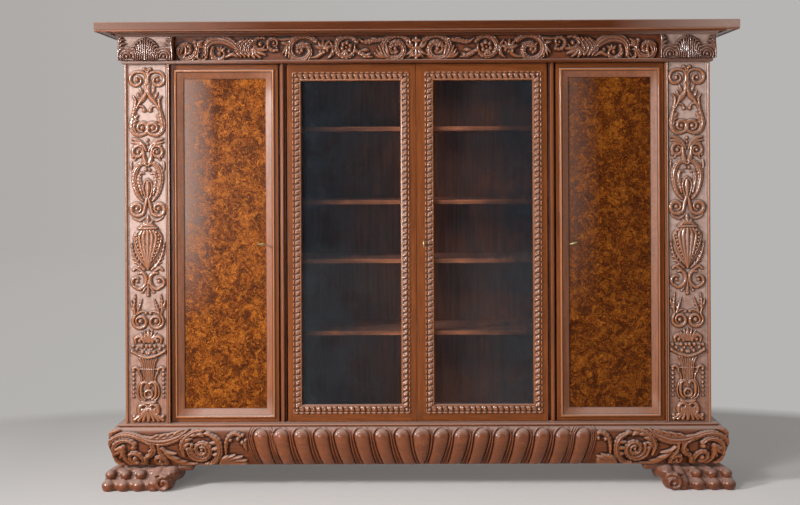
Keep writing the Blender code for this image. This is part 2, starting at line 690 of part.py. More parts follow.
def make_lock(name, end, free_x, toward, key_inset, axis, drilled):
    """A rim lock on the door's back: its case, its sliding bolt and its key."""
    key_x = free_x - toward * key_inset
    near = free_x - toward * CASE_SETBACK
    far = key_x - toward * LOCK_BESIDE_KEY
    low = (near, LOCK_FRONT, KEY_LEVEL - LOCK_HALF_HEIGHT)
    case = piece(f"{name}_lock_case", box(low, (far, LOCK_BACK, KEY_LEVEL + LOCK_HALF_HEIGHT)), "iron", axis)
    chamber = cylinder(
        (key_x, LOCK_FRONT + LOCK_WALL, KEY_LEVEL),
        (key_x, LOCK_BACK - LOCK_WALL / 2, KEY_LEVEL),
        CHAMBER_RADIUS,
        24,
    )
    boolean(case, helper(f"{name}_chamber", chamber, axis))
    hole = cylinder(
        (key_x, -OVERRUN, KEY_LEVEL),
        (key_x, LOCK_FRONT + 2 * LOCK_WALL, KEY_LEVEL),
        SHANK_RADIUS + PIN_FIT,
    )
    keyhole = helper(f"{name}_keyhole", hole, axis)
    boolean(case, keyhole)
    boolean(drilled, keyhole)

    tip = near - toward * SLIDE_FIT
    tail = tip - toward * BOLT_LENGTH
    bolt_top = BOLT_LEVEL + BOLT_HEIGHT
    bolt_back = BOLT_FRONT + BOLT_THICK
    slide = empty(f"{name}_bolt_slide", (tip, BOLT_FRONT, BOLT_LEVEL), axis)
    bolt = box((tip, BOLT_FRONT, BOLT_LEVEL), (tail, bolt_back, bolt_top))
    piece(f"{name}_lock_bolt", bolt, "brass", slide)
    low = (near + toward * OVERRUN, BOLT_FRONT - SLIDE_FIT, BOLT_LEVEL - SLIDE_FIT)
    channel = box(low, (tail - toward * SLIDE_FIT, bolt_back + SLIDE_FIT, bolt_top + SLIDE_FIT))
    boolean(case, helper(f"{name}_channel", channel, axis))

    make_key(name, key_x, KEY_TURNS[end], axis)


def make_key(name, key_x, bow_turn, axis):
    """An old key: a flat oval bow, a collar, and a shank whose bit turns inside the lock."""
    spin = empty(f"{name}_key_axis", (key_x, 0, KEY_LEVEL), axis)
    inner_end = LOCK_BACK - LOCK_WALL
    centre = (key_x, -SHANK_REACH, KEY_LEVEL)
    key = piece(
        f"{name}_key",
        cylinder(centre, (key_x, inner_end, KEY_LEVEL), SHANK_RADIUS, 12),
        "brass",
        spin,
        smooth=True,
    )
    turned = Matrix.Rotation(math.radians(bow_turn), 4, "Y")
    place = Matrix.Translation((key_x, 0, KEY_LEVEL))
    bow = ring(BOW_RADIUS, BOW_WIRE)
    stretch = Matrix.Diagonal((BOW_STRETCH_SHARE, 1, 1, 1))
    bow_y = -SHANK_REACH - BOW_RADIUS + BOW_WIRE / 2
    bow = moved(bow, place @ turned @ Matrix.Translation((0, bow_y, 0)) @ stretch)
    boolean(key, helper(f"{name}_bow", bow, spin), "UNION")
    collar_front = -SHANK_REACH + COLLAR_THICK
    collar = cylinder(
        (key_x, collar_front, KEY_LEVEL),
        (key_x, collar_front + COLLAR_THICK, KEY_LEVEL),
        COLLAR_RADIUS,
    )
    boolean(key, helper(f"{name}_collar", collar, spin), "UNION")
    bit_start = inner_end - BIT_LENGTH
    bit = box((-BIT_THICK / 2, bit_start, -BIT_REACH), (BIT_THICK / 2, inner_end - GAP, 0))
    boolean(key, helper(f"{name}_bit", moved(bit, place), spin), "UNION")


def ring(radius, wire):
    """A round ring lying in X and Y, turned from a circle by a spin."""
    bm = bmesh.new()
    circle = bmesh.ops.create_circle(bm, segments=8, radius=wire)["verts"]
    turn = Matrix.Translation((radius, 0, 0)) @ Matrix.Rotation(math.radians(90), 4, "X")
    bmesh.ops.transform(bm, verts=circle, matrix=turn)
    bmesh.ops.spin(
        bm, geom=bm.edges[:], cent=(0, 0, 0), axis=(0, 0, 1), angle=math.tau, steps=24, use_merge=True
    )
    bmesh.ops.remove_doubles(bm, verts=bm.verts[:], dist=WELD)
    return mesh_of(bm)


def make_flush_bolts(name, free_x, toward, axis, frame, bottom, top):
    """A bolt that slides up, and one that slides down, in grooves in the meeting stile's back."""
    middle = free_x - toward * FLUSH_INSET
    half = FLUSH_WIDTH / 2
    back = DOOR_THICK - GAP
    for end, edge, up, board in (("top", DOOR_TOP, 1, top), ("low", DOOR_LOW, -1, bottom)):
        tip = edge - up * FLUSH_END_GAP
        tail = tip - up * FLUSH_LENGTH
        slide = empty(f"{name}_flush_{end}_slide", (middle, FLUSH_FRONT, tip), axis)
        bar = box((middle - half, FLUSH_FRONT, tip), (middle + half, back, tail))
        bolt = piece(f"flush_bolt_{end}", bar, "brass", slide)
        knob_z = tail + up * KNOB_INSET
        knob_front = (middle, (FLUSH_FRONT + back) / 2, knob_z)
        knob = cylinder(knob_front, (middle, KNOB_BACK, knob_z), KNOB_RADIUS)
        boolean(bolt, helper(f"flush_knob_{end}", knob, slide), "UNION")
        fit = SLIDE_FIT
        low = (middle - half - fit, FLUSH_FRONT - fit, edge + up * OVERRUN)
        groove = box(low, (middle + half + fit, DOOR_THICK + OVERRUN, tail - up * fit))
        boolean(frame, helper(f"flush_groove_{end}", groove, axis))
        depth = edge + up * (FLUSH_THROW + 2 * fit)
        low = (middle - half - 2 * fit, FLUSH_FRONT - 2 * fit, edge)
        pocket = box(low, (middle + half + 2 * fit, back + 2 * fit, depth))
        boolean(board, helper(f"flush_pocket_{end}", pocket, PLACE_ROOT))


def make_doors(root, bottom, top):
    burl = {"name": "panel", "look": "burl", "thick": PANEL_THICK}
    glass = {"name": "pane", "look": "glass", "thick": GLASS_THICK}
    meeting_left = MEETING_SHIFT - MEETING_GAP / 2
    meeting_right = MEETING_SHIFT + MEETING_GAP / 2

    name = "left_panel_door"
    edges = (-PANEL_DOOR_OUTER, -PANEL_DOOR_INNER)
    axis, frame, filling = make_door(name, *edges, PANEL_MARGINS, PANEL_MOULDING, burl, root)
    make_lock(name, "left", edges[1], 1, PANEL_KEY_INSET, axis, filling)

    name = "right_panel_door"
    edges = (PANEL_DOOR_OUTER, PANEL_DOOR_INNER)
    axis, frame, filling = make_door(name, *edges, PANEL_MARGINS, PANEL_MOULDING, burl, root)
    make_lock(name, "right", edges[1], -1, PANEL_KEY_INSET, axis, filling)

    name = "left_glass_door"
    edges = (-GLASS_DOOR_OUTER, meeting_left)
    axis, frame, filling = make_door(name, *edges, GLASS_LEFT_MARGINS, GLASS_MOULDING, glass, root)
    make_flush_bolts(name, edges[1], 1, axis, frame, bottom, top)

    name = "right_glass_door"
    edges = (GLASS_DOOR_OUTER, meeting_right)
    axis, frame, filling = make_door(name, *edges, GLASS_RIGHT_MARGINS, GLASS_MOULDING, glass, root)
    make_lock(name, "centre", edges[1], -1, GLASS_KEY_INSET, axis, frame)


clear_scene()
PLACE_ROOT = empty("cabinet", (0, 0, 0))
PLACE_ROOT.location = (0, (SLAB_REACH - CASE_DEPTH) / 2, 0)
make_base(PLACE_ROOT)
make_feet(PLACE_ROOT)
bottom_board, top_board, case_boards = make_case(PLACE_ROOT)
make_shelves(case_boards, PLACE_ROOT)
make_pilasters(PLACE_ROOT)
make_frieze(PLACE_ROOT)
make_cornice(PLACE_ROOT)
make_doors(PLACE_ROOT, bottom_board, top_board)
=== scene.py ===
"""Carvings, mouldings, lion feet and wood finishes of a long four-door bookcase, laid over its fixed frame.

Lengths are metres: X to the right, Y to the back, Z up. The carvings are drawn on squared paper whose
squares stand for SQUARE, and each is raised from its board as a field of heights.
"""

import functools
import math
import zlib

import bmesh
import bpy
import numpy as np
from mathutils import Matrix, Vector


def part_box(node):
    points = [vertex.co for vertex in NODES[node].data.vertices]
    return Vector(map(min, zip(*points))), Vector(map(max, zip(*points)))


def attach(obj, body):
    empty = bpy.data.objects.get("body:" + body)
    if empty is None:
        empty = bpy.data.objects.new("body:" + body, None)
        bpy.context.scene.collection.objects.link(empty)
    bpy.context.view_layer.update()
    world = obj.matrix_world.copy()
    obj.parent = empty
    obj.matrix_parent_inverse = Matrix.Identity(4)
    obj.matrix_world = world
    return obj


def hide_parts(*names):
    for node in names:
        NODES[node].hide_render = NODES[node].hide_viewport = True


bl_info = {
    "name": "Carved bookcase",
    "version": (1, 0, 0),
    "blender": (4, 5, 0),
    "location": "3D View > Sidebar > Bookcase",
    "description": "Carvings, mouldings, lion feet and wood finishes on a four-door bookcase",
    "category": "Object",
}

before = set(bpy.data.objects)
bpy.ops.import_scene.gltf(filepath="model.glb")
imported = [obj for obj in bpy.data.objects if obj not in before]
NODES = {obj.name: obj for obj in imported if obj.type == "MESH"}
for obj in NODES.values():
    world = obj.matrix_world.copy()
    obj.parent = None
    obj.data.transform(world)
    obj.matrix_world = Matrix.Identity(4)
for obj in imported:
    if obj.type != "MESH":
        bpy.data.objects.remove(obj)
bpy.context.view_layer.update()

SIDES = {"l": -1, "r": 1}
SQUARE = 0.004225  # one pixel of the 800 x 505 photograph, at the doors
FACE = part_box("left_panel_door_frame")[0].y
CLEAR = 0.0004  # a piece that stands for a solid ends this far inside it
SKIN = 0.0004  # how far a carving's ground lies before the board that carries it
ROOTED = 0.0020  # how deep its back is let into that board
WELD = 0.00001
MITRE_WELD = 0.0006  # the leaves of two runs differ by less than this at their mitre
STEM_PITCH = 0.22  # squares from point to point along a stem
BODY_PITCH = 0.3  # and along a body or a spine
TOOTH = 3.4  # squares from one tooth of a leaf's edge to the next
VEIN_ASIDE = 0.38  # a vein's distance from a stem's middle, as a share of the stem's half width
VEIN = 0.26  # its half width and depth, as shares of the stem's half width and height
GRAIN_LENGTH = 20  # wood figure is this many times longer along the grain than across it
POLISH_IOR = 1.5  # of wax, shellac polish and glass


def linear(code):
    """An sRGB hex colour as linear light."""
    values = [int(code[at : at + 2], 16) / 255 for at in (1, 3, 5)]
    return tuple(v / 12.92 if v <= 0.04045 else ((v + 0.055) / 1.055) ** 2.4 for v in values)


def scaled(colour, factor):
    """A colour made darker or lighter."""
    return [min(1, factor * value) for value in colour]


def colour_setting(name, description, code):
    return bpy.props.FloatVectorProperty(
        name=name, description=description, default=linear(code), subtype="COLOR", min=0, max=1
    )


def length_setting(name, description, default):
    return bpy.props.FloatProperty(
        name=name, description=description, default=default, unit="LENGTH", min=0, precision=5
    )


def lamp_setting(name, description, default):
    return bpy.props.FloatProperty(name=name, description=description, default=default, unit="POWER")


class BookcaseFinishes(bpy.types.PropertyGroup):
    """Colours of the woods, glass and metals."""

    # dark old wax in the carvings' hollows, and the painted shade there
    wax_and_shade_dark: colour_setting("Dark stain", "Walnut in its pores and hollows", "#2b140b")
    stain: colour_setting("Stain", "Walnut of the doors and pilasters", "#844824")
    stain_light: colour_setting("Worn stain", "Walnut on worn crests", "#b8713c")
    case_stain: colour_setting("Case stain", "Walnut of the cornice, frieze and base", "#723b1f")
    # dust and old wax on upper faces, and also the colour of the painted sheen on carved grounds, on long
    # boards' ends and on the left burl
    dust_and_sheen: colour_setting("Dust", "Dust and old wax on upper faces", "#b0958a")
    burl_dark: colour_setting("Dark burl", "Burl veneer in its eyes", "#2c1108")
    burl: colour_setting("Burl", "Burl veneer between its eyes", "#78380f")
    burl_light: colour_setting("Light burl", "Flecks of the burl veneer", "#c97a2b")
    inside: colour_setting("Inside", "Unpolished wood inside the case", "#7b4629")
    glass: colour_setting("Glass", "Old dark glass", "#20262c")
    brass: colour_setting("Brass", "Worn brass of keys and bolts", "#dccb98")
    iron: colour_setting("Iron", "Lock cases and pivots", "#3a332e")


class BookcaseCarving(bpy.types.PropertyGroup):
    """How fine and how deep the carving is."""

    step: length_setting("Cut spacing", "Distance between the points of a carving's mesh", 0.0016)
    pilaster_rise: length_setting("Pilaster relief", "Height of the pilasters' carving", 0.0115)
    fillet: length_setting("Pilaster fillets", "Height of the fillets beside the sunk fields", 0.0090)
    frieze_rise: length_setting("Frieze relief", "Height of the frieze's carving", 0.0165)
    block_rise: length_setting("Corner block relief", "Height of the corner blocks' leaves", 0.0130)
    base_rise: length_setting("Base relief", "Height of the base rail's scrolls", 0.0135)
    lobe_rise: length_setting("Gadroon relief", "Height of the base rail's gadroons", 0.0125)
    leaf_period: length_setting("Leaf period", "Length of one leaf of the glass doors' moulding", 0.0237)


class BookcaseStage(bpy.types.PropertyGroup):
    """Floor, background, lamps and camera."""

    floor: colour_setting("Floor", "Pale floor near the bookcase", "#fdf9f6")
    left: colour_setting("Left background", "Background at the left", "#aeaaa7")
    right: colour_setting("Right background", "Background at the right", "#b7b5b3")
    unlit: colour_setting("Unlit room", "The room behind the camera, as the polish shows it", "#34363a")
    front: lamp_setting("Front lamp", "Broad lamp at the front left", 75)
    side: lamp_setting("Side lamp", "Small lamp at the left", 295)
    top: lamp_setting("Top lamp", "Lamp high at the left", 112)
    fill: lamp_setting("Fill lamp", "Lamp at the front right", 20)
    sky: bpy.props.FloatProperty(
        name="Room light", description="Strength of the even light from all sides", default=0.18, min=0
    )


def settings():
    """The finishes, the carving's sizes and the stage, as the scene holds them."""
    return [getattr(bpy.context.scene, title) for _, title in GROUPS]


def seed_of(name):
    return zlib.crc32(name.encode()) % 997


# Nodes and finishes


def add_node(tree, kind, *values, out=0, **named):
    """An output of one new node. The values go to its sockets in use, in their order. Names with a capital
    are sockets too, and the others are the node's options."""
    made = tree.nodes.new("ShaderNode" + kind)
    for name in filter(str.islower, named):
        setattr(made, name, named[name])
    given = list(zip([socket for socket in made.inputs if socket.enabled], values))
    given += [(made.inputs[name], value) for name, value in named.items() if not name.islower()]
    for socket, value in given:
        if isinstance(value, bpy.types.NodeSocket):
            tree.links.new(value, socket)
        elif socket.type == "RGBA":
            socket.default_value = (*value[:3], 1)
        else:
            socket.default_value = value
    if isinstance(out, str):
        return made.outputs[out]
    return next((socket for socket in made.outputs if socket.enabled), None)


def new_look(name):
    """An empty node material, the function that adds its nodes, and a point's place on the object."""
    look = bpy.data.materials.new(name)
    look.use_nodes = True
    look.node_tree.nodes.clear()
    add = functools.partial(add_node, look.node_tree)
    return look, add, add("TexCoord", out="Object")


def layered(add, colour, layers):
    """A colour under layers of others. Each layer is a value, the ends of its range, the layer's shares at
    those ends, and its colour."""
    for *span, over in layers:
        colour = add("Mix", add("MapRange", *span), colour, over, data_type="RGBA")
    return colour


def multiplied(add, spans):
    """The product of values, each turned from its range into another."""
    product = 1.0
    for span in spans:
        product = add("Math", product, add("MapRange", *span), operation="MULTIPLY")
    return product


def finished(look, add, sockets):
    """The material, ended with its shader."""
    add("OutputMaterial", Surface=add("BsdfPrincipled", **sockets))
    return look


def waxed_walnut(
    name, stain, along="Z", carved=False, rails=None, gloss=0.25, shine=0.14, sheen_haze=0.0, worn=0.3, wax_and_shade=0.92,
    ends=(0.0, 0.0), dusted=0.68,
):
    """Stained walnut, waxed and rubbed: streaks 5 mm wide along the grain, darker patches 200 mm wide, soft
    gloss, dark old wax with painted shade in hollows, worn crests, painted sheen on carved grounds and a
    little dust on what faces up. The streaks are drawn coarser than real pores, so that they show.

    along is the grain's axis, and rails turns it sideways above and below two heights and between two
    sides, as on a door's rails. gloss is the roughness of the polish and shine how strongly it reflects.
    sheen_haze is the strength of painted sheen on a carving's ground, a pale wax haze in clouds 24 mm
    wide, worn how much paler its crests are, wax_and_shade how dark the old wax and painted shade in its
    hollows are, ends how much painted sheen pales a long board towards its two ends, and dusted how much
    dust has settled on what faces up."""
    finishes = settings()[0]
    look, add, place = new_look(name)
    x, z = (add("SeparateXYZ", place, out=axis) for axis in "XZ")
    upward = add("SeparateXYZ", add("NewGeometry", out="Normal"), out="Z")
    shift = seed_of(name)

    def grain(lengthwise):
        """Fine streaks, and broad bands 36 mm wide."""
        scales = [1 / GRAIN_LENGTH if axis == lengthwise else 1 for axis in "XYZ"]
        spread = add("Mapping", place, Location=(shift, 0, shift), Scale=scales)
        return (
            add("TexNoise", spread, Scale=190, Detail=5, Roughness=0.6),
            add("TexNoise", spread, Scale=28, Detail=3, Distortion=0.6),
        )

    fine, broad = grain(along)
    if rails:
        low, high, left, right = rails
        rail = 1.0
        for at, first, last, test in ((z, low, high, "GREATER_THAN"), (x, left, right, "LESS_THAN")):
            away = add("Math", at, (first + last) / 2, operation="SUBTRACT")
            away = add("Math", away, operation="ABSOLUTE")
            there = add("Math", away, (last - first) / 2, operation=test)
            rail = add("Math", rail, there, operation="MULTIPLY")
        fine, broad = (add("Mix", rail, *pair) for pair in zip((fine, broad), grain("X")))
    dark, light = scaled(stain, 0.45), scaled(stain, 1.35)
    banded = add("Mix", 0.6, layered(add, dark, [(broad, 0.35, 0.65, 0, 1, light)]), stain, data_type="RGBA")
    patches = add("TexNoise", place, Scale=5, Detail=2)
    layers = [(fine, 0.36, 0.60, 0.35, 1.0, banded), (patches, 0.45, 0.75, 0.0, 0.35, dark)]
    rough = add("MapRange", fine, 0.3, 0.7, gloss + 0.08, gloss - 0.03)
    if carved:
        raised, crest, hollow = (
            add("Attribute", attribute_name=title, out="Fac") for title in ("raised", "crest", "hollow")
        )
        clouds = add("TexNoise", place, Scale=42, Detail=5, Roughness=0.65)
        # painted sheen on the carving's ground, in clouds, stronger higher up and weaker where the ground
        # faces down
        painted_sheen = multiplied(add, (
            (z, 0.35, 1.15, 0.35 * sheen_haze, 1.25 * sheen_haze), (clouds, 0.35, 0.65, 0.62, 1.3),
            (upward, -0.6, 0.0, 0.2, 1.0), (raised, 0.0, 1.0, 1.0, 0.12),
        ))
        layers += [
            (painted_sheen, 0, 1, 0, 1, finishes.dust_and_sheen),
            (raised, 0.2, 1.0, 0.0, 0.45 * worn, finishes.stain_light),
            (crest, 0.1, 0.9, 0.0, worn, finishes.stain_light),
            # dark old wax and painted shade in the hollows
            (hollow, 0.05, 0.75, 0.0, wax_and_shade, finishes.wax_and_shade_dark),
        ]
        rough = add("Math", rough, add("MapRange", raised, 0.1, 0.8, 0.22, 0.0), operation="ADD")
        shine = add("MapRange", raised, 0.1, 0.8, 0.3 * shine, shine)
    # painted sheen, paler towards the board's two ends
    if any(ends):
        layers += [(x, -1.3, -0.6, ends[0], 0.0, finishes.dust_and_sheen), (x, 0.8, 1.3, 0.0, ends[1], finishes.dust_and_sheen)]
    layers.append((upward, 0.2, 0.85, 0.0, dusted, finishes.dust_and_sheen))
    return finished(look, add, {
        "Base Color": layered(add, dark, layers), "Roughness": rough, "IOR": POLISH_IOR,
        "Specular IOR Level": shine, "Normal": add("Bump", Height=fine, Strength=0.25, Distance=0.0004),
    })


def burl_veneer(name, glow, painted_sheen):
    """Burl walnut veneer, french polished: swirls 8 mm wide round dark eyes 12 mm apart, and orange flecks
    6 mm wide in drifts of 37 mm. glow is painted light that lightens the figure where it leans towards the
    lamp, and painted_sheen is how strongly a grey painted sheen covers it beside the left edge, higher up."""
    finishes = settings()[0]
    look, add, place = new_look(name)
    x, z = (add("SeparateXYZ", place, out=axis) for axis in "XZ")
    shift = seed_of(name) / 10
    moved = add("Mapping", place, Location=(shift, 0, shift))
    bent = add("Mix", 0.06, moved, add("TexNoise", moved, Scale=20, Detail=3, out="Color"), data_type="RGBA")
    drifts, swirls, flecks = (
        add("TexNoise", bent, Scale=scale, Detail=detail, Roughness=rough, Distortion=twist)
        for scale, detail, rough, twist in ((27, 5, 0.68, 0.8), (118, 6, 0.72, 1.2), (160, 4, 0.7, 1.6))
    )
    eyes = add("TexVoronoi", bent, Scale=82, Randomness=1.0)
    middle, light = scaled(finishes.burl, glow), scaled(finishes.burl_light, glow)
    low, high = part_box(name)
    sheen_patch = multiplied(add, (
        (x, low.x + 0.03, low.x + 0.4 * (high.x - low.x), painted_sheen, 0.0), (z, 0.70, 1.15),
        (drifts, 0.35, 0.65, 1.2, 0.7),
    ))
    colour = layered(add, finishes.burl_dark, (
        (swirls, 0.40, 0.57, 0, 1, middle),
        (drifts, 0.52, 0.70, 0.0, 0.35, light),
        (flecks, 0.53, 0.62, 0.0, 0.75, light),
        (eyes, 0.0, 0.30, 0.75, 0.0, finishes.burl_dark),
        (drifts, 0.54, 0.38, 0.0, 0.72, finishes.burl_dark),
        (sheen_patch, 0, 1, 0, 1, scaled(finishes.dust_and_sheen, 0.5)),
    ))
    return finished(look, add, {
        "Base Color": colour, "Roughness": add("MapRange", swirls, 0.3, 0.7, 0.32, 0.24), "IOR": POLISH_IOR,
        "Specular IOR Level": 0.05, "Normal": add("Bump", Height=swirls, Strength=0.08, Distance=0.0003),
    })


def plain_wood(name, colour, along):
    """Planed wood left unpolished inside the case: dull, with darker streaks 11 mm wide and years of dust."""
    look, add, place = new_look(name)
    spread = add("Mapping", place, Scale=[0.06 if axis == along else 1 for axis in "XYZ"])
    streaks = add("TexNoise", spread, Scale=90, Detail=4)
    upward = add("SeparateXYZ", add("NewGeometry", out="Normal"), out="Z")
    layers = ((streaks, 0.35, 0.65, 0, 1, colour), (upward, 0.5, 1.0, 0.0, 0.3, settings()[0].dust_and_sheen))
    return finished(look, add, {
        "Base Color": layered(add, scaled(colour, 0.5), layers),
        "Roughness": add("MapRange", streaks, 0.3, 0.7, 0.7, 0.55),
        "Normal": add("Bump", Height=streaks, Strength=0.2, Distance=0.0005),
    })


def old_glass(name):
    """Old drawn glass: dark, with waves 140 mm long, smears 110 mm wide that dull its gloss, specks of dust
    4 mm wide, and a dark bluish painted reflection and shade that thickens towards the case's outer side."""
    finishes = settings()[0]
    low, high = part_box(name)
    on_left = name.startswith("left")
    outer, inner = (low.x, high.x) if on_left else (high.x, low.x)
    look, add, place = new_look(name)
    wave = add("TexNoise", place, Scale=7, Detail=1)
    smear = add("TexNoise", place, Scale=9, Detail=6, Roughness=0.6)
    dusty = add("MapRange", add("TexNoise", place, Scale=260, Detail=2), 0.66, 0.74, 0.0, 0.35)
    # painted reflection and shade: thicker at the outer side, and more on the left pane
    thick, thin = (0.50, 0.14) if on_left else (0.62, 0.02)
    across = add("SeparateXYZ", place, out="X")
    reflection_veil = multiplied(add, ((across, outer, inner, thick, thin), (smear, 0.35, 0.65, 0.65, 1.3)))
    return finished(look, add, {
        "Base Color": add("Mix", dusty, finishes.glass, finishes.dust_and_sheen, data_type="RGBA"),
        "Roughness": add("MapRange", smear, 0.4, 0.7, 0.03, 0.12),
        "Alpha": add("Math", reflection_veil, dusty, operation="ADD", use_clamp=True),
        "IOR": POLISH_IOR, "Normal": add("Bump", Height=wave, Strength=0.1, Distance=0.002),
    })


def worn_metal(name, colour, rough):
    """Cast brass or iron, handled for years: duller and darker in spots 3 mm wide."""
    look, add, place = new_look(name)
    spots = add("TexNoise", place, Scale=300, Detail=4)
    return finished(look, add, {
        "Base Color": layered(add, scaled(colour, 0.45), [(spots, 0.35, 0.6, 0, 1, colour)]),
        "Roughness": add("MapRange", spots, 0.3, 0.7, rough + 0.15, rough - 0.05), "Metallic": 1.0,
        "Normal": add("Bump", Height=spots, Strength=0.15, Distance=0.0003),
    })


# Pieces


def add_piece(name, mesh, look, body, stands_for=()):
    """A finished piece: its finish, the body it moves with, and the CAD nodes it stands for."""
    obj = bpy.data.objects.new(name, mesh)
    bpy.context.scene.collection.objects.link(obj)
    mesh.materials.clear()
    mesh.materials.append(look)
    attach(obj, body)
    if stands_for:
        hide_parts(*stands_for)
    return obj


def mesh_from(bm, name, smooth_angle=None):
    """The mesh, doubles merged and faces turned outwards."""
    bmesh.ops.remove_doubles(bm, verts=bm.verts[:], dist=WELD)
    bmesh.ops.recalc_face_normals(bm, faces=bm.faces[:])
    if bm.calc_volume(signed=True) < 0:
        bmesh.ops.reverse_faces(bm, faces=bm.faces[:])
    mesh = bpy.data.meshes.new(name)
    bm.to_mesh(mesh)
    bm.free()
    if smooth_angle:
        mesh.shade_smooth()
        mesh.set_sharp_from_angle(angle=math.radians(smooth_angle))
    return mesh


def walls_from_rim(bm, axis, depth):
    """Draws the open edges out to a depth along an axis. The result is the new open edges."""
    rim = [edge for edge in bm.edges if edge.is_boundary]
    walls = bmesh.ops.extrude_edge_only(bm, edges=rim)["geom"]
    for item in walls:
        if isinstance(item, bmesh.types.BMVert):
            item.co[axis] = depth
    return [item for item in walls if isinstance(item, bmesh.types.BMEdge) and item.is_boundary]


def smooth_line(points, pitch):
    """Even points along a smooth line through the given points, and each one's share of the way."""
    points = np.array(points, float)
    ends = np.vstack([2 * points[0] - points[1], points, 2 * points[-1] - points[-2]])
    run = []
    for before, start, end, after in zip(ends, ends[1:], ends[2:], ends[3:]):
        t = np.linspace(0, 1, 16, endpoint=False)[:, None]
        square = (2 * before - 5 * start + 4 * end - after) * t**2
        cube = (3 * start - before - 3 * end + after) * t**3
        run.append(0.5 * (2 * start + (end - before) * t + square + cube))
    run = np.vstack([*run, points[-1:]])
    gone = np.concatenate([[0], np.cumsum(np.hypot(*np.diff(run, axis=0).T))])
    even = np.linspace(0, gone[-1], max(2, int(gone[-1] / pitch) + 1))
    line = np.column_stack([np.interp(even, gone, run[:, 0]), np.interp(even, gone, run[:, 1])])
    return line, even / gone[-1]


def spiral(eye, start, inner, turns, turned=1):
    """Points from a start round an eye, in to a distance from it. turned is 1 or -1, for the sense."""
    eye, start = np.array(eye, float), np.array(start, float)
    outer = np.hypot(*(start - eye))
    begin = math.atan2(start[1] - eye[1], start[0] - eye[0])
    share = np.linspace(0, 1, max(6, int(12 * turns)))
    radius = outer + (inner - outer) * share**0.8
    angle = begin + turned * turns * math.tau * share
    return np.column_stack([eye[0] + radius * np.cos(angle), eye[1] + radius * np.sin(angle)])


def dome(away, half):
    """1 at no distance, falling to 0 at a half width and beyond."""
    return np.clip(1 - (away / half) ** 2, 0, 1)


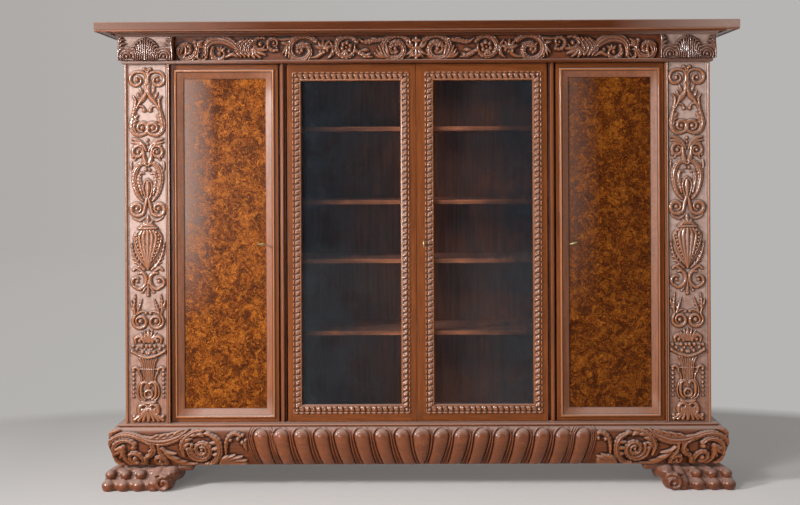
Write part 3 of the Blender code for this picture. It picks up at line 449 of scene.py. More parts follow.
class Carving:
    """A board's heights in squares of the drawing: right of its middle and down from its top."""

    def __init__(self, left, right, top, low, step, rise, weight=1.3, teeth=0.0):
        self.across = np.linspace(left, right, round((right - left) * SQUARE / step) + 1)
        self.down = np.linspace(top, low, round((low - top) * SQUARE / step) + 1)
        self.height = np.zeros((len(self.down), len(self.across)))
        self.rise = rise
        self.weight = weight
        self.teeth = teeth
        self.veins = []

    def window(self, x, y, reach):
        """The part of the field near a point, and its points' distances from that point."""
        columns = slice(*np.searchsorted(self.across, (x - reach, x + reach)))
        rows = slice(*np.searchsorted(self.down, (y - reach, y + reach)))
        return (rows, columns), np.hypot(self.across[columns] - x, (self.down[rows] - y)[:, None])

    def stamp(self, x, y, half, high):
        """Raises a round boss, unless something higher is there."""
        spot, away = self.window(x, y, half)
        self.height[spot] = np.maximum(self.height[spot], high * np.sqrt(dome(away, half)) ** 1.25)

    def dig(self, x, y, half, deep):
        """Sinks a round eye."""
        spot, away = self.window(x, y, half)
        self.height[spot] -= deep * dome(away, half)

    def stroke(self, points, halves, high=1.0, swell=None, teeth=None):
        """A rounded stem along a line. halves are its half widths from start to end. Broad stems of a
        leafy carving have toothed edges and are kept for the gouge."""
        line, share = smooth_line(points, STEM_PITCH)
        widths = self.weight * np.interp(share, np.linspace(0, 1, len(halves)), halves)
        if teeth is None:
            teeth = self.teeth if len(points) > 3 else 0
        if teeth:
            nicks = np.cos(np.arange(len(line)) * STEM_PITCH * math.tau / TOOTH)
            self.veins.append((line, np.where(widths > 1.7, widths, 0), high))
            widths = widths * (1 + teeth * nicks * np.clip(widths - 0.9, 0, 1))
        highs = np.interp(share, np.linspace(0, 1, len(swell)), swell) if swell else np.ones(len(line))
        for (x, y), half, lift in zip(line, widths, highs):
            if half > 0.12:
                self.stamp(x, y, half, high * lift * min(1, 0.45 + half / 2))

    def gouge(self):
        """Cuts two veins along each broad toothed stem, which leave three ribs."""
        cut = np.zeros_like(self.height)
        for line, widths, high in self.veins:
            slope = np.gradient(line, axis=0)
            slope /= np.hypot(*slope.T)[:, None] + 1e-9
            for side in (-VEIN_ASIDE, VEIN_ASIDE):
                for (x, y), (east, down), half in zip(line, slope, widths):
                    if half:
                        spot, away = self.window(x - down * side * half, y + east * side * half, VEIN * half)
                        cut[spot] = np.maximum(cut[spot], VEIN * high * dome(away, VEIN * half))
        self.height -= cut

    def swell(self, points, halves, high):
        """Lifts all there is along a line into one round body."""
        line, share = smooth_line(points, BODY_PITCH)
        widths = np.interp(share, np.linspace(0, 1, len(halves)), halves)
        body = np.zeros_like(self.height)
        for (x, y), half in zip(line, widths):
            spot, away = self.window(x, y, half)
            body[spot] = np.maximum(body[spot], high * np.sqrt(dome(away, half)))
        self.height += body

    def volute(self, eye, start, turns, turned, half=0.95, ball=1.5, inner=None, high=0.85):
        """A scroll that winds in round a ball."""
        inner = ball + half * 0.9 if inner is None else inner
        halves = [half * share for share in (0.85, 1.2, 1.05, 0.6)]
        self.stroke(spiral(eye, start, inner, turns, turned), halves, high)
        self.stamp(eye[0], eye[1], ball, high * 1.15)

    def leaf(self, root, tip, half, bend=0.0, high=0.8):
        """One tapering lobe from a root to a tip, bowed to one side."""
        root, tip = np.array(root, float), np.array(tip, float)
        along = tip - root
        middle = (root + tip) / 2 + bend * np.array((-along[1], along[0]))
        self.stroke((root, middle, tip), (half * 0.45, half, half * 0.75, 0.2), high, (0.7, 1, 0.8))

    def frond(self, spine, lobes, size, half, lean, high):
        """An acanthus leaf: pairs of lobes along a spine, smaller towards its tip, and a raised midrib."""
        line, share = smooth_line(spine, BODY_PITCH)
        slope = np.gradient(line, axis=0)
        for number in range(lobes):
            at = int((number + 0.6) / (lobes + 0.5) * (len(line) - 1))
            heading = math.atan2(slope[at, 1], slope[at, 0])
            reach = size * (1 - 0.6 * share[at]) * (0.75 + 0.5 * math.sin(math.pi * min(1, share[at] + 0.25)))
            for sense in (-1, 1):
                angle = heading + sense * lean
                tip = line[at] + reach * np.array((math.cos(angle), math.sin(angle)))
                self.leaf(line[at], tip, half * (1 - 0.35 * share[at]), -sense * 0.16, high * 0.85)
        self.stroke(spine, (half * 0.9, half * 0.8, 0.3), high)

    def mirror(self):
        """Repeats the right half on the left, and the left on the right."""
        self.height = np.maximum(self.height, self.height[:, ::-1])

    def blurred(self, reach):
        """The field with each point averaged over a square around it."""
        result = self.height
        for axis in (0, 1):
            pads = [(reach + 1, reach) if way == axis else (0, 0) for way in (0, 1)]
            total = np.cumsum(np.pad(result, pads, mode="edge"), axis=axis)
            ahead = np.take(total, range(2 * reach + 1, total.shape[axis]), axis=axis)
            behind = np.take(total, range(0, total.shape[axis] - 2 * reach - 1), axis=axis)
            result = (ahead - behind) / (2 * reach + 1)
        return result


class Tracing:
    """A carving's left half, drawn over the photograph's columns and rows."""

    def __init__(self, carving, middle, top, share=1.0, stem_high=1.0, leaf_high=0.9):
        self.carving = carving
        self.middle = middle
        self.top = top
        self.share = share
        self.stem_high = stem_high
        self.leaf_high = leaf_high

    def at(self, column, row):
        return (self.middle - column) * self.share, row - self.top

    def stroke(self, places, halves, high=None):
        self.carving.stroke([self.at(*place) for place in places], halves, high or self.stem_high)

    def stamp(self, column, row, half, high):
        self.carving.stamp(*self.at(column, row), half, high)

    def volute(self, eye, start, turns, turned, half, ball, inner=None):
        self.carving.volute(self.at(*eye), self.at(*start), turns, turned, half, ball, inner)

    def leaf(self, root, tip, half, bend=0.0, high=None):
        self.carving.leaf(self.at(*root), self.at(*tip), half, bend, high or self.leaf_high)


def carved_board(name, carving, place, look, deep=ROOTED, stands_for=(), soft=3):
    """The carving as a closed board on the cabinet. place gives points in the frame for drawing places and
    heights, and soft is how many points off a hollow feels the parts that stand over it."""
    rows, columns = carving.height.shape
    bm = bmesh.new()
    bmesh.ops.create_grid(bm, x_segments=columns - 1, y_segments=rows - 1, size=0.5)
    bmesh.ops.edgeloop_fill(bm, edges=walls_from_rim(bm, 2, -1))
    bmesh.ops.recalc_face_normals(bm, faces=bm.faces[:])
    mesh = bpy.data.meshes.new(name)
    bm.to_mesh(mesh)
    bm.free()
    flat = np.empty(3 * len(mesh.vertices), np.float32)
    mesh.vertices.foreach_get("co", flat)
    flat = flat.reshape(-1, 3)
    column = np.rint((flat[:, 0] + 0.5) * (columns - 1)).astype(int)
    row = np.rint((0.5 - flat[:, 1]) * (rows - 1)).astype(int)
    front = flat[:, 2] > -0.5
    metres = carving.height[row, column] * carving.rise
    points = place(carving.across[column], carving.down[row], np.where(front, metres + SKIN, -deep))
    mesh.vertices.foreach_set("co", points.astype(np.float32).ravel())
    around = carving.blurred(soft)
    # hollow is how far a point lies below the parts around it; the finish darkens it there with old wax and
    # painted shade
    fields = {
        "hollow": np.clip((around - carving.height) * 4.2, 0, 1),
        "crest": np.clip((carving.height - around) * 3.0, 0, 1) * np.clip(carving.height, 0, 1),
        "raised": np.clip(carving.height * 1.5, 0, 1),
    }
    for title, field in fields.items():
        values = mesh.attributes.new(title, "FLOAT", "POINT")
        values.data.foreach_set("value", field[row, column].astype(np.float32))
    mesh.update()
    check = bmesh.new()
    check.from_mesh(mesh)
    if check.calc_volume(signed=True) < 0:
        bmesh.ops.reverse_faces(check, faces=check.faces[:])
        check.to_mesh(mesh)
    check.free()
    mesh.shade_smooth()
    mesh.set_sharp_from_angle(angle=math.radians(75))
    return add_piece(name, mesh, look, "cabinet", stands_for)


def flat_face(middle, top, front):
    """Places on an upright board: squares right of a middle and down from a top, heights forward."""

    def place(across, down, high):
        x = middle + across * SQUARE
        return np.column_stack([x, np.full_like(x, front) - high, top - down * SQUARE])

    return place


# Pilasters

OUTER_FILLET = 0.0180  # beside a pilaster's sunk field, towards the case's side
INNER_FILLET = 0.0140  # and towards the doors
PILASTER_EDGE = 0.0003  # the carving ends this far inside the pilaster
# the fillets' sections: squares away from the sunk field, and heights as shares of the fillet's
OUTER_SECTION = ((0, 0.2, 1.5, 1.9, 2.9, 3.9, 4.3), (0, 0.25, 0.2, 0.9, 1.05, 0.95, 0.6))
INNER_SECTION = ((0, 0.3, 1.0, 1.4, 1.7, 2.1, 3.3), (0, 1, 1.04, 1, 0.5, 1, 1))


def draw_pilaster(c):
    """The candelabrum of the pilasters, its right half; the other half is its mirror image."""
    # bud and the top pair of volutes
    c.stroke(((0, 11), (1.2, 6.5), (2.8, 4.2), (3.6, 5.2)), (0.6, 0.8, 0.9, 0.8))
    c.stamp(0, 5.2, 1.2, 0.8)
    c.stroke(((0.6, 19), (0.8, 12.5), (3.4, 8.4), (8, 7.2)), (1.5, 1.3, 1.0, 0.9))
    c.volute((10.4, 15.4), (8, 7.2), 1.05, 1, 1.15, 2.0, 3.2)
    # stem leaves and leaflets
    c.leaf((1.0, 31), (3.4, 18), 1.9, -0.12)
    c.stroke(((0.9, 12), (0.9, 22), (0.7, 30)), (0.9, 1.0, 0.6), 0.7)
    c.leaf((5.0, 29), (7.6, 22.0), 1.3)
    c.leaf((7.5, 34), (10.6, 27.6), 1.1)
    c.stroke(((1.4, 29), (3.6, 33), (8, 38.4), (12, 46)), (1.5, 2.0, 1.0, 0.6))
    c.stroke(((14.5, 31.5), (11.8, 36), (12.4, 44), (14.0, 51), (15.2, 60)), (0.4, 1.1, 1.2, 1.4, 1.4),
             teeth=0.2)
    # inner curls
    c.stroke(((12.6, 43), (8, 41.4), (4.6, 42.2), (3.0, 45.4)), (0.5, 0.8, 0.8, 0.9), 0.7)
    c.stamp(3.0, 45.8, 2.1, 1.0)
    # large pair of volutes with their leaves
    c.stroke(((14.8, 52), (15.6, 61), (13.2, 68.0), (9, 70.6), (5.4, 70.4)), (1.0, 1.9, 1.8, 1.4, 1.2), 0.9,
             teeth=0.12)
    c.volute((5.3, 63.4), (5.4, 70.2), 1.0, 1, 1.3, 2.4, 3.6)
    c.leaf((12, 56), (8.4, 50.4), 1.4, 0.2)
    c.leaf((14, 60), (9, 55.6), 1.3, 0.2)
    c.leaf((14.6, 64), (10.4, 59.4), 1.0, 0.2)
    # bud and fan leaves below
    c.stamp(0, 75.6, 1.7, 0.9)
    c.stamp(0, 79.6, 1.3, 0.8)
    for tip in ((15.6, 74.0), (15.8, 77.6), (13.6, 80.8)):
        c.stroke(((1.6, 86), (5, 79.5), (10, 75.8 + (tip[1] - 74) * 0.8), tip), (0.8, 1.3, 1.5, 0.6), 0.85)
    c.stroke(((2.2, 98), (3.8, 92), (4.6, 84), (8, 81.0)), (2.0, 1.6, 1.1, 0.9), 0.95)
    c.volute((9.6, 87.6), (8.2, 81.4), 1.0, 1, 1.1, 2.0, 3.2)
    c.volute((14.6, 92.4), (12.8, 95.6), 0.55, 1, 0.7, 1.2, 1.6)
    # heart of two leaf bands round a drop
    c.stroke(((0.8, 101), (4, 98.8), (9.6, 101.4), (13.2, 110), (12.6, 120), (9.6, 130), (5, 136)),
             (0.9, 1.6, 2.0, 1.8, 1.7, 1.4, 0.8), 1.0, teeth=0.16)
    c.stroke(((3.6, 109), (7.2, 109), (8.6, 115), (7.4, 122), (5.6, 130)), (0.6, 1.3, 1.5, 1.3, 0.8), 0.8,
             teeth=0.3)
    c.stamp(1.9, 105.2, 1.6, 0.9)
    c.stroke(((0, 114.4), (3.0, 117.2), (4.5, 122.8), (3.4, 129), (1.4, 135), (2.4, 140)),
             (0.7, 0.8, 0.8, 0.8, 0.7, 0.9), 0.75)
    c.stroke(((0, 118), (0, 122.8), (0, 129), (0, 134)), (1.6, 2.2, 1.5, 0.6), 0.9)
    c.stroke(((15.8, 97), (16.4, 102), (15.8, 106)), (0.4, 0.9, 0.5), 0.6)
    # volutes over the urn
    c.stroke(((0.8, 134), (2.8, 142), (4.6, 148.6), (8.6, 151.0)), (1.2, 1.4, 1.4, 1.4), 0.9)
    c.volute((10.7, 144.2), (8.6, 151.2), 1.0, -1, 1.35, 2.2, 3.4)
    c.stroke(((3.6, 153.6), (8, 156.0), (14, 153.4), (16.6, 149)), (0.5, 0.9, 0.8, 0.3), 0.6)
    c.leaf((0, 158), (0, 150), 1.5)
    c.leaf((1.4, 159), (4.6, 156.2), 1.1, 0.2)
    # urn: lid, ring, five flutes between strings of beads, and its round body
    c.stroke(((0, 160.0), (4, 160.4), (6.4, 162.0)), (1.7, 1.5, 1.0), 0.9)
    c.stroke(((0, 163.6), (8.8, 163.6)), (1.0, 1.0), 1.2)
    body = ((0, 0.70), (0.12, 1.0), (0.25, 1.0), (0.5, 0.76), (0.75, 0.38), (1, 0.04))

    def urn(wide):
        return [(wide * k, 166.2 + 39 * t) for t, k in body]

    for top, wide in ((0.0, 1.75), (4.3, 1.6), (8.2, 1.35)):
        halves = (wide * 0.8, wide, wide, wide * 0.8, wide * 0.5, 0.4)
        c.stroke(urn(top), halves, 0.75, (0.9, 1, 1, 0.95, 0.8, 0.5))
    for number in range(9):
        share = 0.03 + 0.09 * number
        c.stamp(11.3 * np.interp(share, *zip(*body)), 166.2 + 39 * share, 1.55 - 0.07 * number, 0.9)
    c.stroke(urn(13.4)[:5], (0.5, 0.8, 0.9, 0.7, 0.4), 0.6)
    c.swell(urn(0), [14.2 * k for t, k in body], 0.85)
    # side leaves of the urn, curls and C-scrolls
    c.frond(((3.6, 205), (9.6, 199), (14.2, 190), (16.6, 178)), 6, 5.2, 1.0, 0.6, 0.8)
    c.stroke(((3, 209), (8.6, 205), (12, 203.4), (14.6, 205.6)), (0.5, 0.9, 1.1, 1.0), 0.8)
    c.stroke(((9.4, 208.6), (5.4, 208.4), (2.0, 213), (3.0, 220), (8.4, 224.4), (13.6, 222)),
             (0.8, 1.4, 1.5, 1.4, 1.2, 1.0))
    c.volute((10.9, 216.8), (14.2, 222), 0.5, -1, 1.0, 1.8, 3.4)
    # drop with curls
    c.stroke(((0, 216), (0, 224), (0, 228)), (0.6, 0.8, 1.2), 0.8)
    c.stamp(0, 230.4, 1.8, 1.0)
    c.stroke(((1.2, 222), (3.4, 224.2), (5.2, 227)), (0.5, 0.6, 0.7), 0.6)
    c.stamp(5.6, 227.4, 1.4, 0.8)
    # leafy sprays over the lower volutes
    c.frond(((12.8, 250), (14.0, 243), (12.8, 229.4)), 4, 4.6, 0.95, 0.5, 0.85)
    c.frond(((11.4, 250), (9.0, 243), (6.2, 234.4)), 3, 4.0, 0.9, 0.5, 0.85)
    c.leaf((14, 244), (17, 235.6), 1.1, 0.1)
    c.stroke(((10.6, 249), (6.8, 247.0), (3.6, 247.2)), (0.9, 0.8, 0.5), 0.8)
    c.stamp(2.3, 248.6, 1.7, 0.95)
    c.volute((7.8, 256.9), (13.2, 251.2), 1.3, 1, 1.1, 2.3, 3.9, 0.95)
    # palmette, a curled flower on each side, and fruit on a scalloped rim
    for tip in ((0, 264.6), (4.0, 265.4), (8.2, 267.6), (10.6, 271.4)):
        c.leaf((0, 277.6), tip, 1.35, 0.05, 0.95)
    c.stroke(((4.2, 278), (5.4, 273.2), (9.4, 271.8), (13, 274.2), (12.4, 278.4)), (0.8, 1.1, 1.3, 1.2, 0.7))
    c.stamp(8.8, 276.4, 2.0, 0.95)
    for x, y, half in ((1.7, 281.6, 2.0), (6.5, 281.6, 2.0), (11.5, 284.4, 1.9), (15.2, 281.6, 1.7),
                       (0.9, 288.4, 1.9), (6.0, 287.2, 2.0), (3.6, 284.6, 1.5)):
        c.stamp(x, y, half, 1.1)
    c.stroke(((0, 293.0), (6, 291.7), (11, 289.7), (16.2, 286.6)), (1.05, 1.0, 0.9, 1.1), 1.25, teeth=0.22)
    # fluted trumpet with its cord, curls and bead strings
    c.swell([(0, 293), (0, 298), (0, 304), (0, 320)], [9.4, 6.6, 5.4, 4.2], 0.5)
    for x in (0, 2.9, 5.8, 8.4):
        c.stroke(((x, 294), (x * 0.74, 298), (x * 0.62, 304), (x * 0.48, 319)), (0.75, 0.65, 0.55, 0.5), 0.8)
    c.stroke(((0, 304.8), (8, 304.6), (10.4, 305.2)), (0.5, 0.45, 0.5), 1.0)
    c.stroke(((9.4, 309), (9.8, 304.8), (12.6, 302.8), (15.6, 304.0)), (0.5, 0.9, 1.0, 0.9), 0.9)
    for number in range(7):
        c.stamp(14.9, 305.8 + 4.4 * number, 1.9 - 0.12 * number, 0.95)
    # lyre round a shield with two curls and a ring
    c.stroke(((9.6, 307), (7.4, 311), (6.8, 316), (9.6, 321), (10.6, 328), (8.8, 333.6), (3.6, 337)),
             (0.5, 0.6, 0.6, 0.6, 0.6, 0.6, 0.5), 0.85)
    c.stroke(((0.5, 323), (1.4, 319), (4.2, 317.6), (7.0, 320), (7.6, 326), (6.4, 332), (3, 335)),
             (0.7, 1.0, 1.3, 1.2, 1.1, 1.0, 0.7), 0.95)
    turns = np.radians(np.linspace(-90, 90, 7))
    c.stroke([(3.8 * math.cos(turn), 329.4 + 3.8 * math.sin(turn)) for turn in turns], (0.9, 0.9), 1.05)
    # collar and the acanthus at the foot
    c.stroke(((0, 338.5), (4, 338.2), (7.0, 337.2)), (1.0, 1.0, 0.8), 1.15)
    c.stroke(((0.8, 341.6), (4.4, 339.9), (8.4, 341.8), (9.6, 347), (7.6, 351)),
             (0.9, 1.2, 1.6, 1.5, 0.8), 1.05)
    c.stroke(((0, 344), (3.6, 344.4), (6.4, 346.6), (6.0, 350)), (2.4, 2.2, 2.0, 1.6), 0.85)
    c.dig(4.8, 343.0, 1.7, 1.2)
    for tip, half in (((14.2, 355.4), 1.5), ((10.0, 355.8), 1.4), ((5.2, 355.6), 1.4), ((0, 355.8), 1.5)):
        c.stroke(((tip[0] * 0.1 + 1, 345), (tip[0] * 0.5 + 0.8, 350.4), tip), (0.9, half, half * 0.9), 0.95)
    c.stamp(14.4, 351.9, 2.1, 1.1)


class BOOKCASE_OT_pilasters(bpy.types.Operator):
    """Carve the two pilasters"""

    bl_idname = "bookcase.pilasters"
    bl_label = "Carved pilasters"

    def execute(self, context):
        finishes, sizes, _ = settings()
        for end, side in SIDES.items():
            node = f"pilaster_{end}"
            low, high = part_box(f"pilaster_{end}")
            left, right = (OUTER_FILLET, INNER_FILLET) if side < 0 else (INNER_FILLET, OUTER_FILLET)
            west, east = low.x + left, high.x - right
            middle, half = (west + east) / 2, (east - west) / 2 / SQUARE
            wide = half + (OUTER_FILLET - PILASTER_EDGE) / SQUARE
            top = high.z - PILASTER_EDGE
            drop = (top - low.z - PILASTER_EDGE) / SQUARE
            c = Carving(-wide, wide, 0, drop, sizes.step * 1.1, sizes.pilaster_rise, 1.45)
            draw_pilaster(c)
            c.gouge()
            c.mirror()
            inside = c.across * side > -half - (INNER_FILLET - PILASTER_EDGE) / SQUARE
            c.across, c.height = c.across[inside], c.height[:, inside]
            beyond = c.across * side - half  # squares past the field, towards the case's side
            step = sizes.fillet / sizes.pilaster_rise
            outer = step * np.interp(beyond, *OUTER_SECTION)
            inner = step * np.interp(-beyond - 2 * half, *INNER_SECTION)
            c.height = np.where(beyond > 0, outer, np.where(-beyond > 2 * half, inner, c.height))
            field = low.y + sizes.fillet
            look = waxed_walnut(
                f"{node}_carved_walnut", finishes.stain, "Z", True,
                gloss=0.20, shine=1.0, sheen_haze=0.80, worn=0.42, wax_and_shade=0.85,
            )
            deep = high.y - field - PILASTER_EDGE
            place = flat_face(middle, top, field)
            carved_board(f"{node}_carving", c, place, look, deep=deep, stands_for=(node,))
        return {"FINISHED"}


# Frieze and corner blocks

FRIEZE_MIDDLE = 417.8  # column of the frieze's middle in the photograph
FRIEZE_ROW = 36.2  # and the row of its top edge
FRIEZE_EDGE = 0.0002  # the carvings end this far under the cornice
BLOCK_FACE = 0.2330  # the block's front; its box is longer, with the return along the side
SCROLL_EYE = (18.4, 20.0)  # middle of a corner block's ringed scroll


def draw_frieze(c):
    """Acanthus scrolls that run out from a tie in the middle."""
    t = Tracing(c, FRIEZE_MIDDLE, FRIEZE_ROW)
    # the tie and its leaves
    c.stroke(((0, 1.5), (0, 22)), (1.3, 1.5, 1.3), 0.9)
    for y in (4.5, 12, 19.5):
        c.stroke(((0, y), (3.4, y)), (1.3, 1.1), 1.05)
    for tip in ((411, 38), (410, 58), (407, 41.5), (407, 55)):
        t.leaf((415.5, 48), tip, 1.3, 0.12)
    # the large volute
    t.volute((396.8, 49.2), (409.5, 40.2), 1.75, 1, 1.55, 2.4, 3.4)
    for tip in ((403, 41.4), (397, 39.4), (390.6, 42)):
        t.leaf((399, 46), tip, 1.0, 0.2, 0.7)
    for x, y in ((386, 40.5), (383, 43), (380.4, 46), (378.2, 49.5), (376.4, 53)):
        t.stroke(((390 - (386 - x) * 0.2, 57.4), (x + 3, (y + 57) / 2 + 1), (x, y)), (0.9, 1.4, 0.5), 0.9)
    # tips between the volute and the rosette
    t.leaf((381, 42), (372.4, 38.2), 1.1, -0.15)
    t.stroke(((388, 39), (376, 40.5), (366, 42), (360, 38.6)), (0.8, 1.2, 1.3, 0.4))
    t.stroke(((374, 57), (368, 56.4), (361, 52.5), (356, 50)), (0.5, 1.2, 1.3, 0.8), 0.9)
    t.leaf((370, 50), (362.6, 50.4), 1.2)
    t.leaf((372, 54), (366.8, 56.8), 1.1)
    # rosette in its crescent
    t.volute((348, 47.3), (358.4, 41.5), 0.95, 1, 1.35, 1.7, 8.6)
    for number in range(6):
        angle = math.radians(60 * number + 20)
        c.stamp(69.8 + 4.3 * math.cos(angle), 11.1 + 4.3 * math.sin(angle), 2.5, 0.9)
    for x, y in ((342.6, 55.4), (346.4, 57), (350.4, 56.6)):
        t.leaf((347, 50), (x, y), 1.2)
    # small flower
    root = t.at(325, 49)
    for turn in np.radians(np.linspace(-160, -20, 5)):
        c.leaf(root, (root[0] + 9.4 * math.cos(turn), root[1] + 9.4 * math.sin(turn)), 1.5, 0.0, 0.9)
    for x, y in ((322, 51.6), (325.8, 52.2), (329, 50.6), (324.6, 45.6)):
        t.stamp(x, y, 1.9, 1.0)
    t.stroke(((331, 41), (334.6, 47), (333.6, 54), (329.6, 58)), (0.6, 1.2, 1.2, 0.5), 0.85)
    t.stroke(((325, 52), (319, 56.5), (313, 57.6)), (1.2, 1.2, 0.5), 0.8)
    # scroll with petals
    t.volute((303.5, 50.3), (317.4, 40.8), 1.55, 1, 1.6, 2.2, 3.2)
    for x, y in ((312, 43.6), (307.6, 42.6), (302, 42.0), (297.2, 43.6)):
        t.leaf((304, 48), (x, y), 1.35, 0.1)
    for x, y in ((290.8, 57), (287.4, 55.6), (284.6, 53)):
        t.stroke(((296, 40.5), (291.4 - (290.8 - x) * 0.4, 47), (x, y)), (0.9, 1.5, 0.6), 0.95)
    t.leaf((290, 44), (282.6, 42.4), 1.2)
    t.stroke(((292, 38.6), (284, 39.4), (278.6, 38.4)), (0.8, 0.9, 0.3), 0.7)
    t.stamp(278.4, 47.4, 1.4, 0.9)
    # curl and fluted scroll
    t.volute((275.4, 43), (279.4, 49.8), 1.05, -1, 1.0, 1.7, 2.9)
    t.stamp(262, 44, 2.6, 1.0)
    t.volute((262, 44), (266.4, 37.8), 0.8, 1, 1.0, 2.0, 4.6)
    for tip in ((268.6, 49.6), (267.2, 54.4), (262.4, 57.4), (256.8, 57.8), (251, 56)):
        t.stroke(((258, 46), ((258 + tip[0]) / 2 - 2.6, (46 + tip[1]) / 2 + 1.2), tip), (0.8, 1.5, 0.7), 0.95)
    # long flutes and the leaf arch
    for shift in (0, 4.0, 8.0, 12.0):
        places = ((257.4, 38 + shift * 0.1), (252.4, 44), (250.6, 50), (255, 56.6))
        t.stroke([(x - shift, y) for x, y in places], (0.6, 1.4, 1.4, 0.6), 0.9)
    t.stroke(((208.4, 56.6), (208, 46), (213.6, 39.6), (224, 38.4), (234, 43), (241, 50), (246.4, 56)),
             (0.9, 1.8, 2.5, 2.7, 2.4, 1.5, 0.4), 1.0)
    t.volute((221.4, 53.2), (214.6, 47.4), 0.75, 1, 1.2, 2.3, 4.0)
    for x, y in ((219, 46.6), (223.4, 45.6), (227.6, 47)):
        t.leaf((222.6, 51), (x, y), 1.1)
    t.stamp(230.8, 50.8, 1.9, 0.95)
    t.stroke(((228, 56.6), (234, 54), (240, 56.8)), (0.9, 1.3, 0.4), 0.85)
    # sprig and end scroll
    for tip in ((206.4, 39.6), (205, 43.6), (206.4, 47)):
        t.leaf((197.4, 44.6), tip, 1.35)
    t.volute((204.4, 56.2), (199.8, 53.2), 0.8, 1, 0.8, 1.3, 2.2)
    t.leaf((195, 52), (203, 50.8), 1.1, 0.1)
    t.volute((188, 49.7), (196.8, 41.6), 1.35, -1, 1.45, 2.3, 3.3)
    for x, y in ((179.6, 46), (179, 51), (181, 55.6), (185.6, 58)):
        t.stroke(((186.6, 42.8), (x + 2.4, (y + 43) / 2), (x, y)), (0.7, 1.4, 0.7), 0.9)


def draw_corner_block(c):
    """An acanthus leaf of drooping lobes between two ringed scrolls, under raised corner leaves; the right
    half, mirrored."""
    c.stroke(((0, 23.6), (0.3, 12), (0, 1.8)), (1.0, 1.0, 0.7), 1.0)
    lobes = ((3.0, 1.8), (6.0, 3.2), (8.6, 5.4), (10.8, 8.2), (12.4, 11.4), (13.2, 15.0))
    for number, (x, y) in enumerate(lobes):
        foot = 1.5 + 1.8 * number
        bow = (foot + 0.9, y + 7.5 - 0.9 * number)
        c.stroke(((foot, 23.6), bow, (x - 1.0, y + 1.2), (x + 1.1, y + 1.5)), (0.5, 0.8, 1.1, 0.7), 0.95)
    x, y = SCROLL_EYE
    for radius in (3.7, 6.2, 8.7):
        turns = np.radians(np.linspace(-190, 25, 12))
        arc = [(x + radius * math.cos(turn), y + 0.98 * radius * math.sin(turn)) for turn in turns]
        c.stroke(arc, (0.7, 0.95, 0.9), 1.0 - 0.05 * radius)
    c.stamp(x, y, 2.0, 1.05)
    c.stroke(((26.8, 23), (26.6, 14), (25.8, 7), (26.6, 0.8)), (0.8, 1.0, 1.3, 1.0), 0.9)
    for *root, x, y in ((26.4, 16, 19.6, 11), (26.2, 12, 18.6, 7), (26, 8, 20, 3), (26, 4, 22.4, 0.8)):
        c.leaf(root, (x, y), 1.15, 0.22, 1.0)
    c.mirror()
    # the block's foot stands forward
    c.height += 0.55 * (1 - np.clip(1 - c.down / c.down[-1], 0, 1)[:, None] ** 2)


class BOOKCASE_OT_frieze(bpy.types.Operator):
    """Carve the frieze and the corner blocks"""

    bl_idname = "bookcase.frieze"
    bl_label = "Carved frieze"

    def execute(self, context):
        finishes, sizes, _ = settings()
        low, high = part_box("frieze_rail")
        half, drop = (high.x - low.x) / 2 / SQUARE - 0.1, (high.z - low.z) / SQUARE - 0.1
        c = Carving(-half, half, 0, drop, sizes.step, sizes.frieze_rise, 1.75, 0.2)
        draw_frieze(c)
        c.gouge()
        c.mirror()
        look = waxed_walnut(
            "frieze_carved_walnut", finishes.case_stain, "X", True, gloss=0.17, shine=0.95, worn=0.2
        )
        place = flat_face(0, high.z - FRIEZE_EDGE, low.y)
        carved_board("frieze_carving", c, place, look, soft=7)
        for end, side in SIDES.items():
            node = f"corner_block_{end}"
            low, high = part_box(f"corner_block_{end}")
            outer = low.x if side < 0 else high.x
            inner = outer - side * BLOCK_FACE
            half, drop = BLOCK_FACE / 2 / SQUARE - 0.05, (high.z - low.z) / SQUARE - 0.1
            c = Carving(-half, half, 0, drop, sizes.step * 0.85, sizes.block_rise, 1.5)
            draw_corner_block(c)
            look = waxed_walnut(
                f"{node}_carved_walnut", scaled(finishes.case_stain, 0.75), "X", True, gloss=0.18, shine=0.8,
                sheen_haze=0.75, worn=0.05,
            )
            place = flat_face((outer + inner) / 2, high.z - FRIEZE_EDGE, low.y)
            carved_board(f"{node}_carving", c, place, look, soft=4)
        return {"FINISHED"}


# Cornice

SLAB = 0.0372  # thickness of the cornice's slab
BEAD_RADIUS = 0.0034
BEADS = (("slab_bead", 0.0040, 0.0004), ("cove_bead", 0.0462, 0.0036))  # name, inset, drop under the slab
BEAD_END = 0.004  # the beads stop this far before the cornice's back


class BOOKCASE_OT_cornice(bpy.types.Operator):
    """Run the beads under the cornice"""

    bl_idname = "bookcase.cornice"
    bl_label = "Cornice beads"

    def execute(self, context):
        finishes = settings()[0]
        low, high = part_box("cornice")
        for name, inset, drop in BEADS:
            level = high.z - SLAB - drop
            bm = bmesh.new()
            west, east, front, back = low.x + inset, high.x - inset, low.y + inset, high.y - BEAD_END
            places = ((west, back), (west, front), (east, front), (east, back))
            corners = [Vector((*place, level)) for place in places]
            for start, end in zip(corners, corners[1:]):
                turn = (end - start).to_track_quat("Z", "Y").to_matrix().to_4x4()
                bmesh.ops.create_cone(
                    bm, cap_ends=True, segments=16, radius1=BEAD_RADIUS, radius2=BEAD_RADIUS,
                    depth=(end - start).length, matrix=Matrix.Translation((start + end) / 2) @ turn,
                )
            for corner in corners[1:3]:
                place = Matrix.Translation(corner)
                bmesh.ops.create_uvsphere(bm, u_segments=16, v_segments=10, radius=BEAD_RADIUS, matrix=place)
            look = waxed_walnut(f"{name}_walnut", finishes.stain, "X", gloss=0.25, shine=0.4)
            add_piece(f"cornice_{name}", mesh_from(bm, name, 40), look, "cabinet")
        return {"FINISHED"}


# Base rail

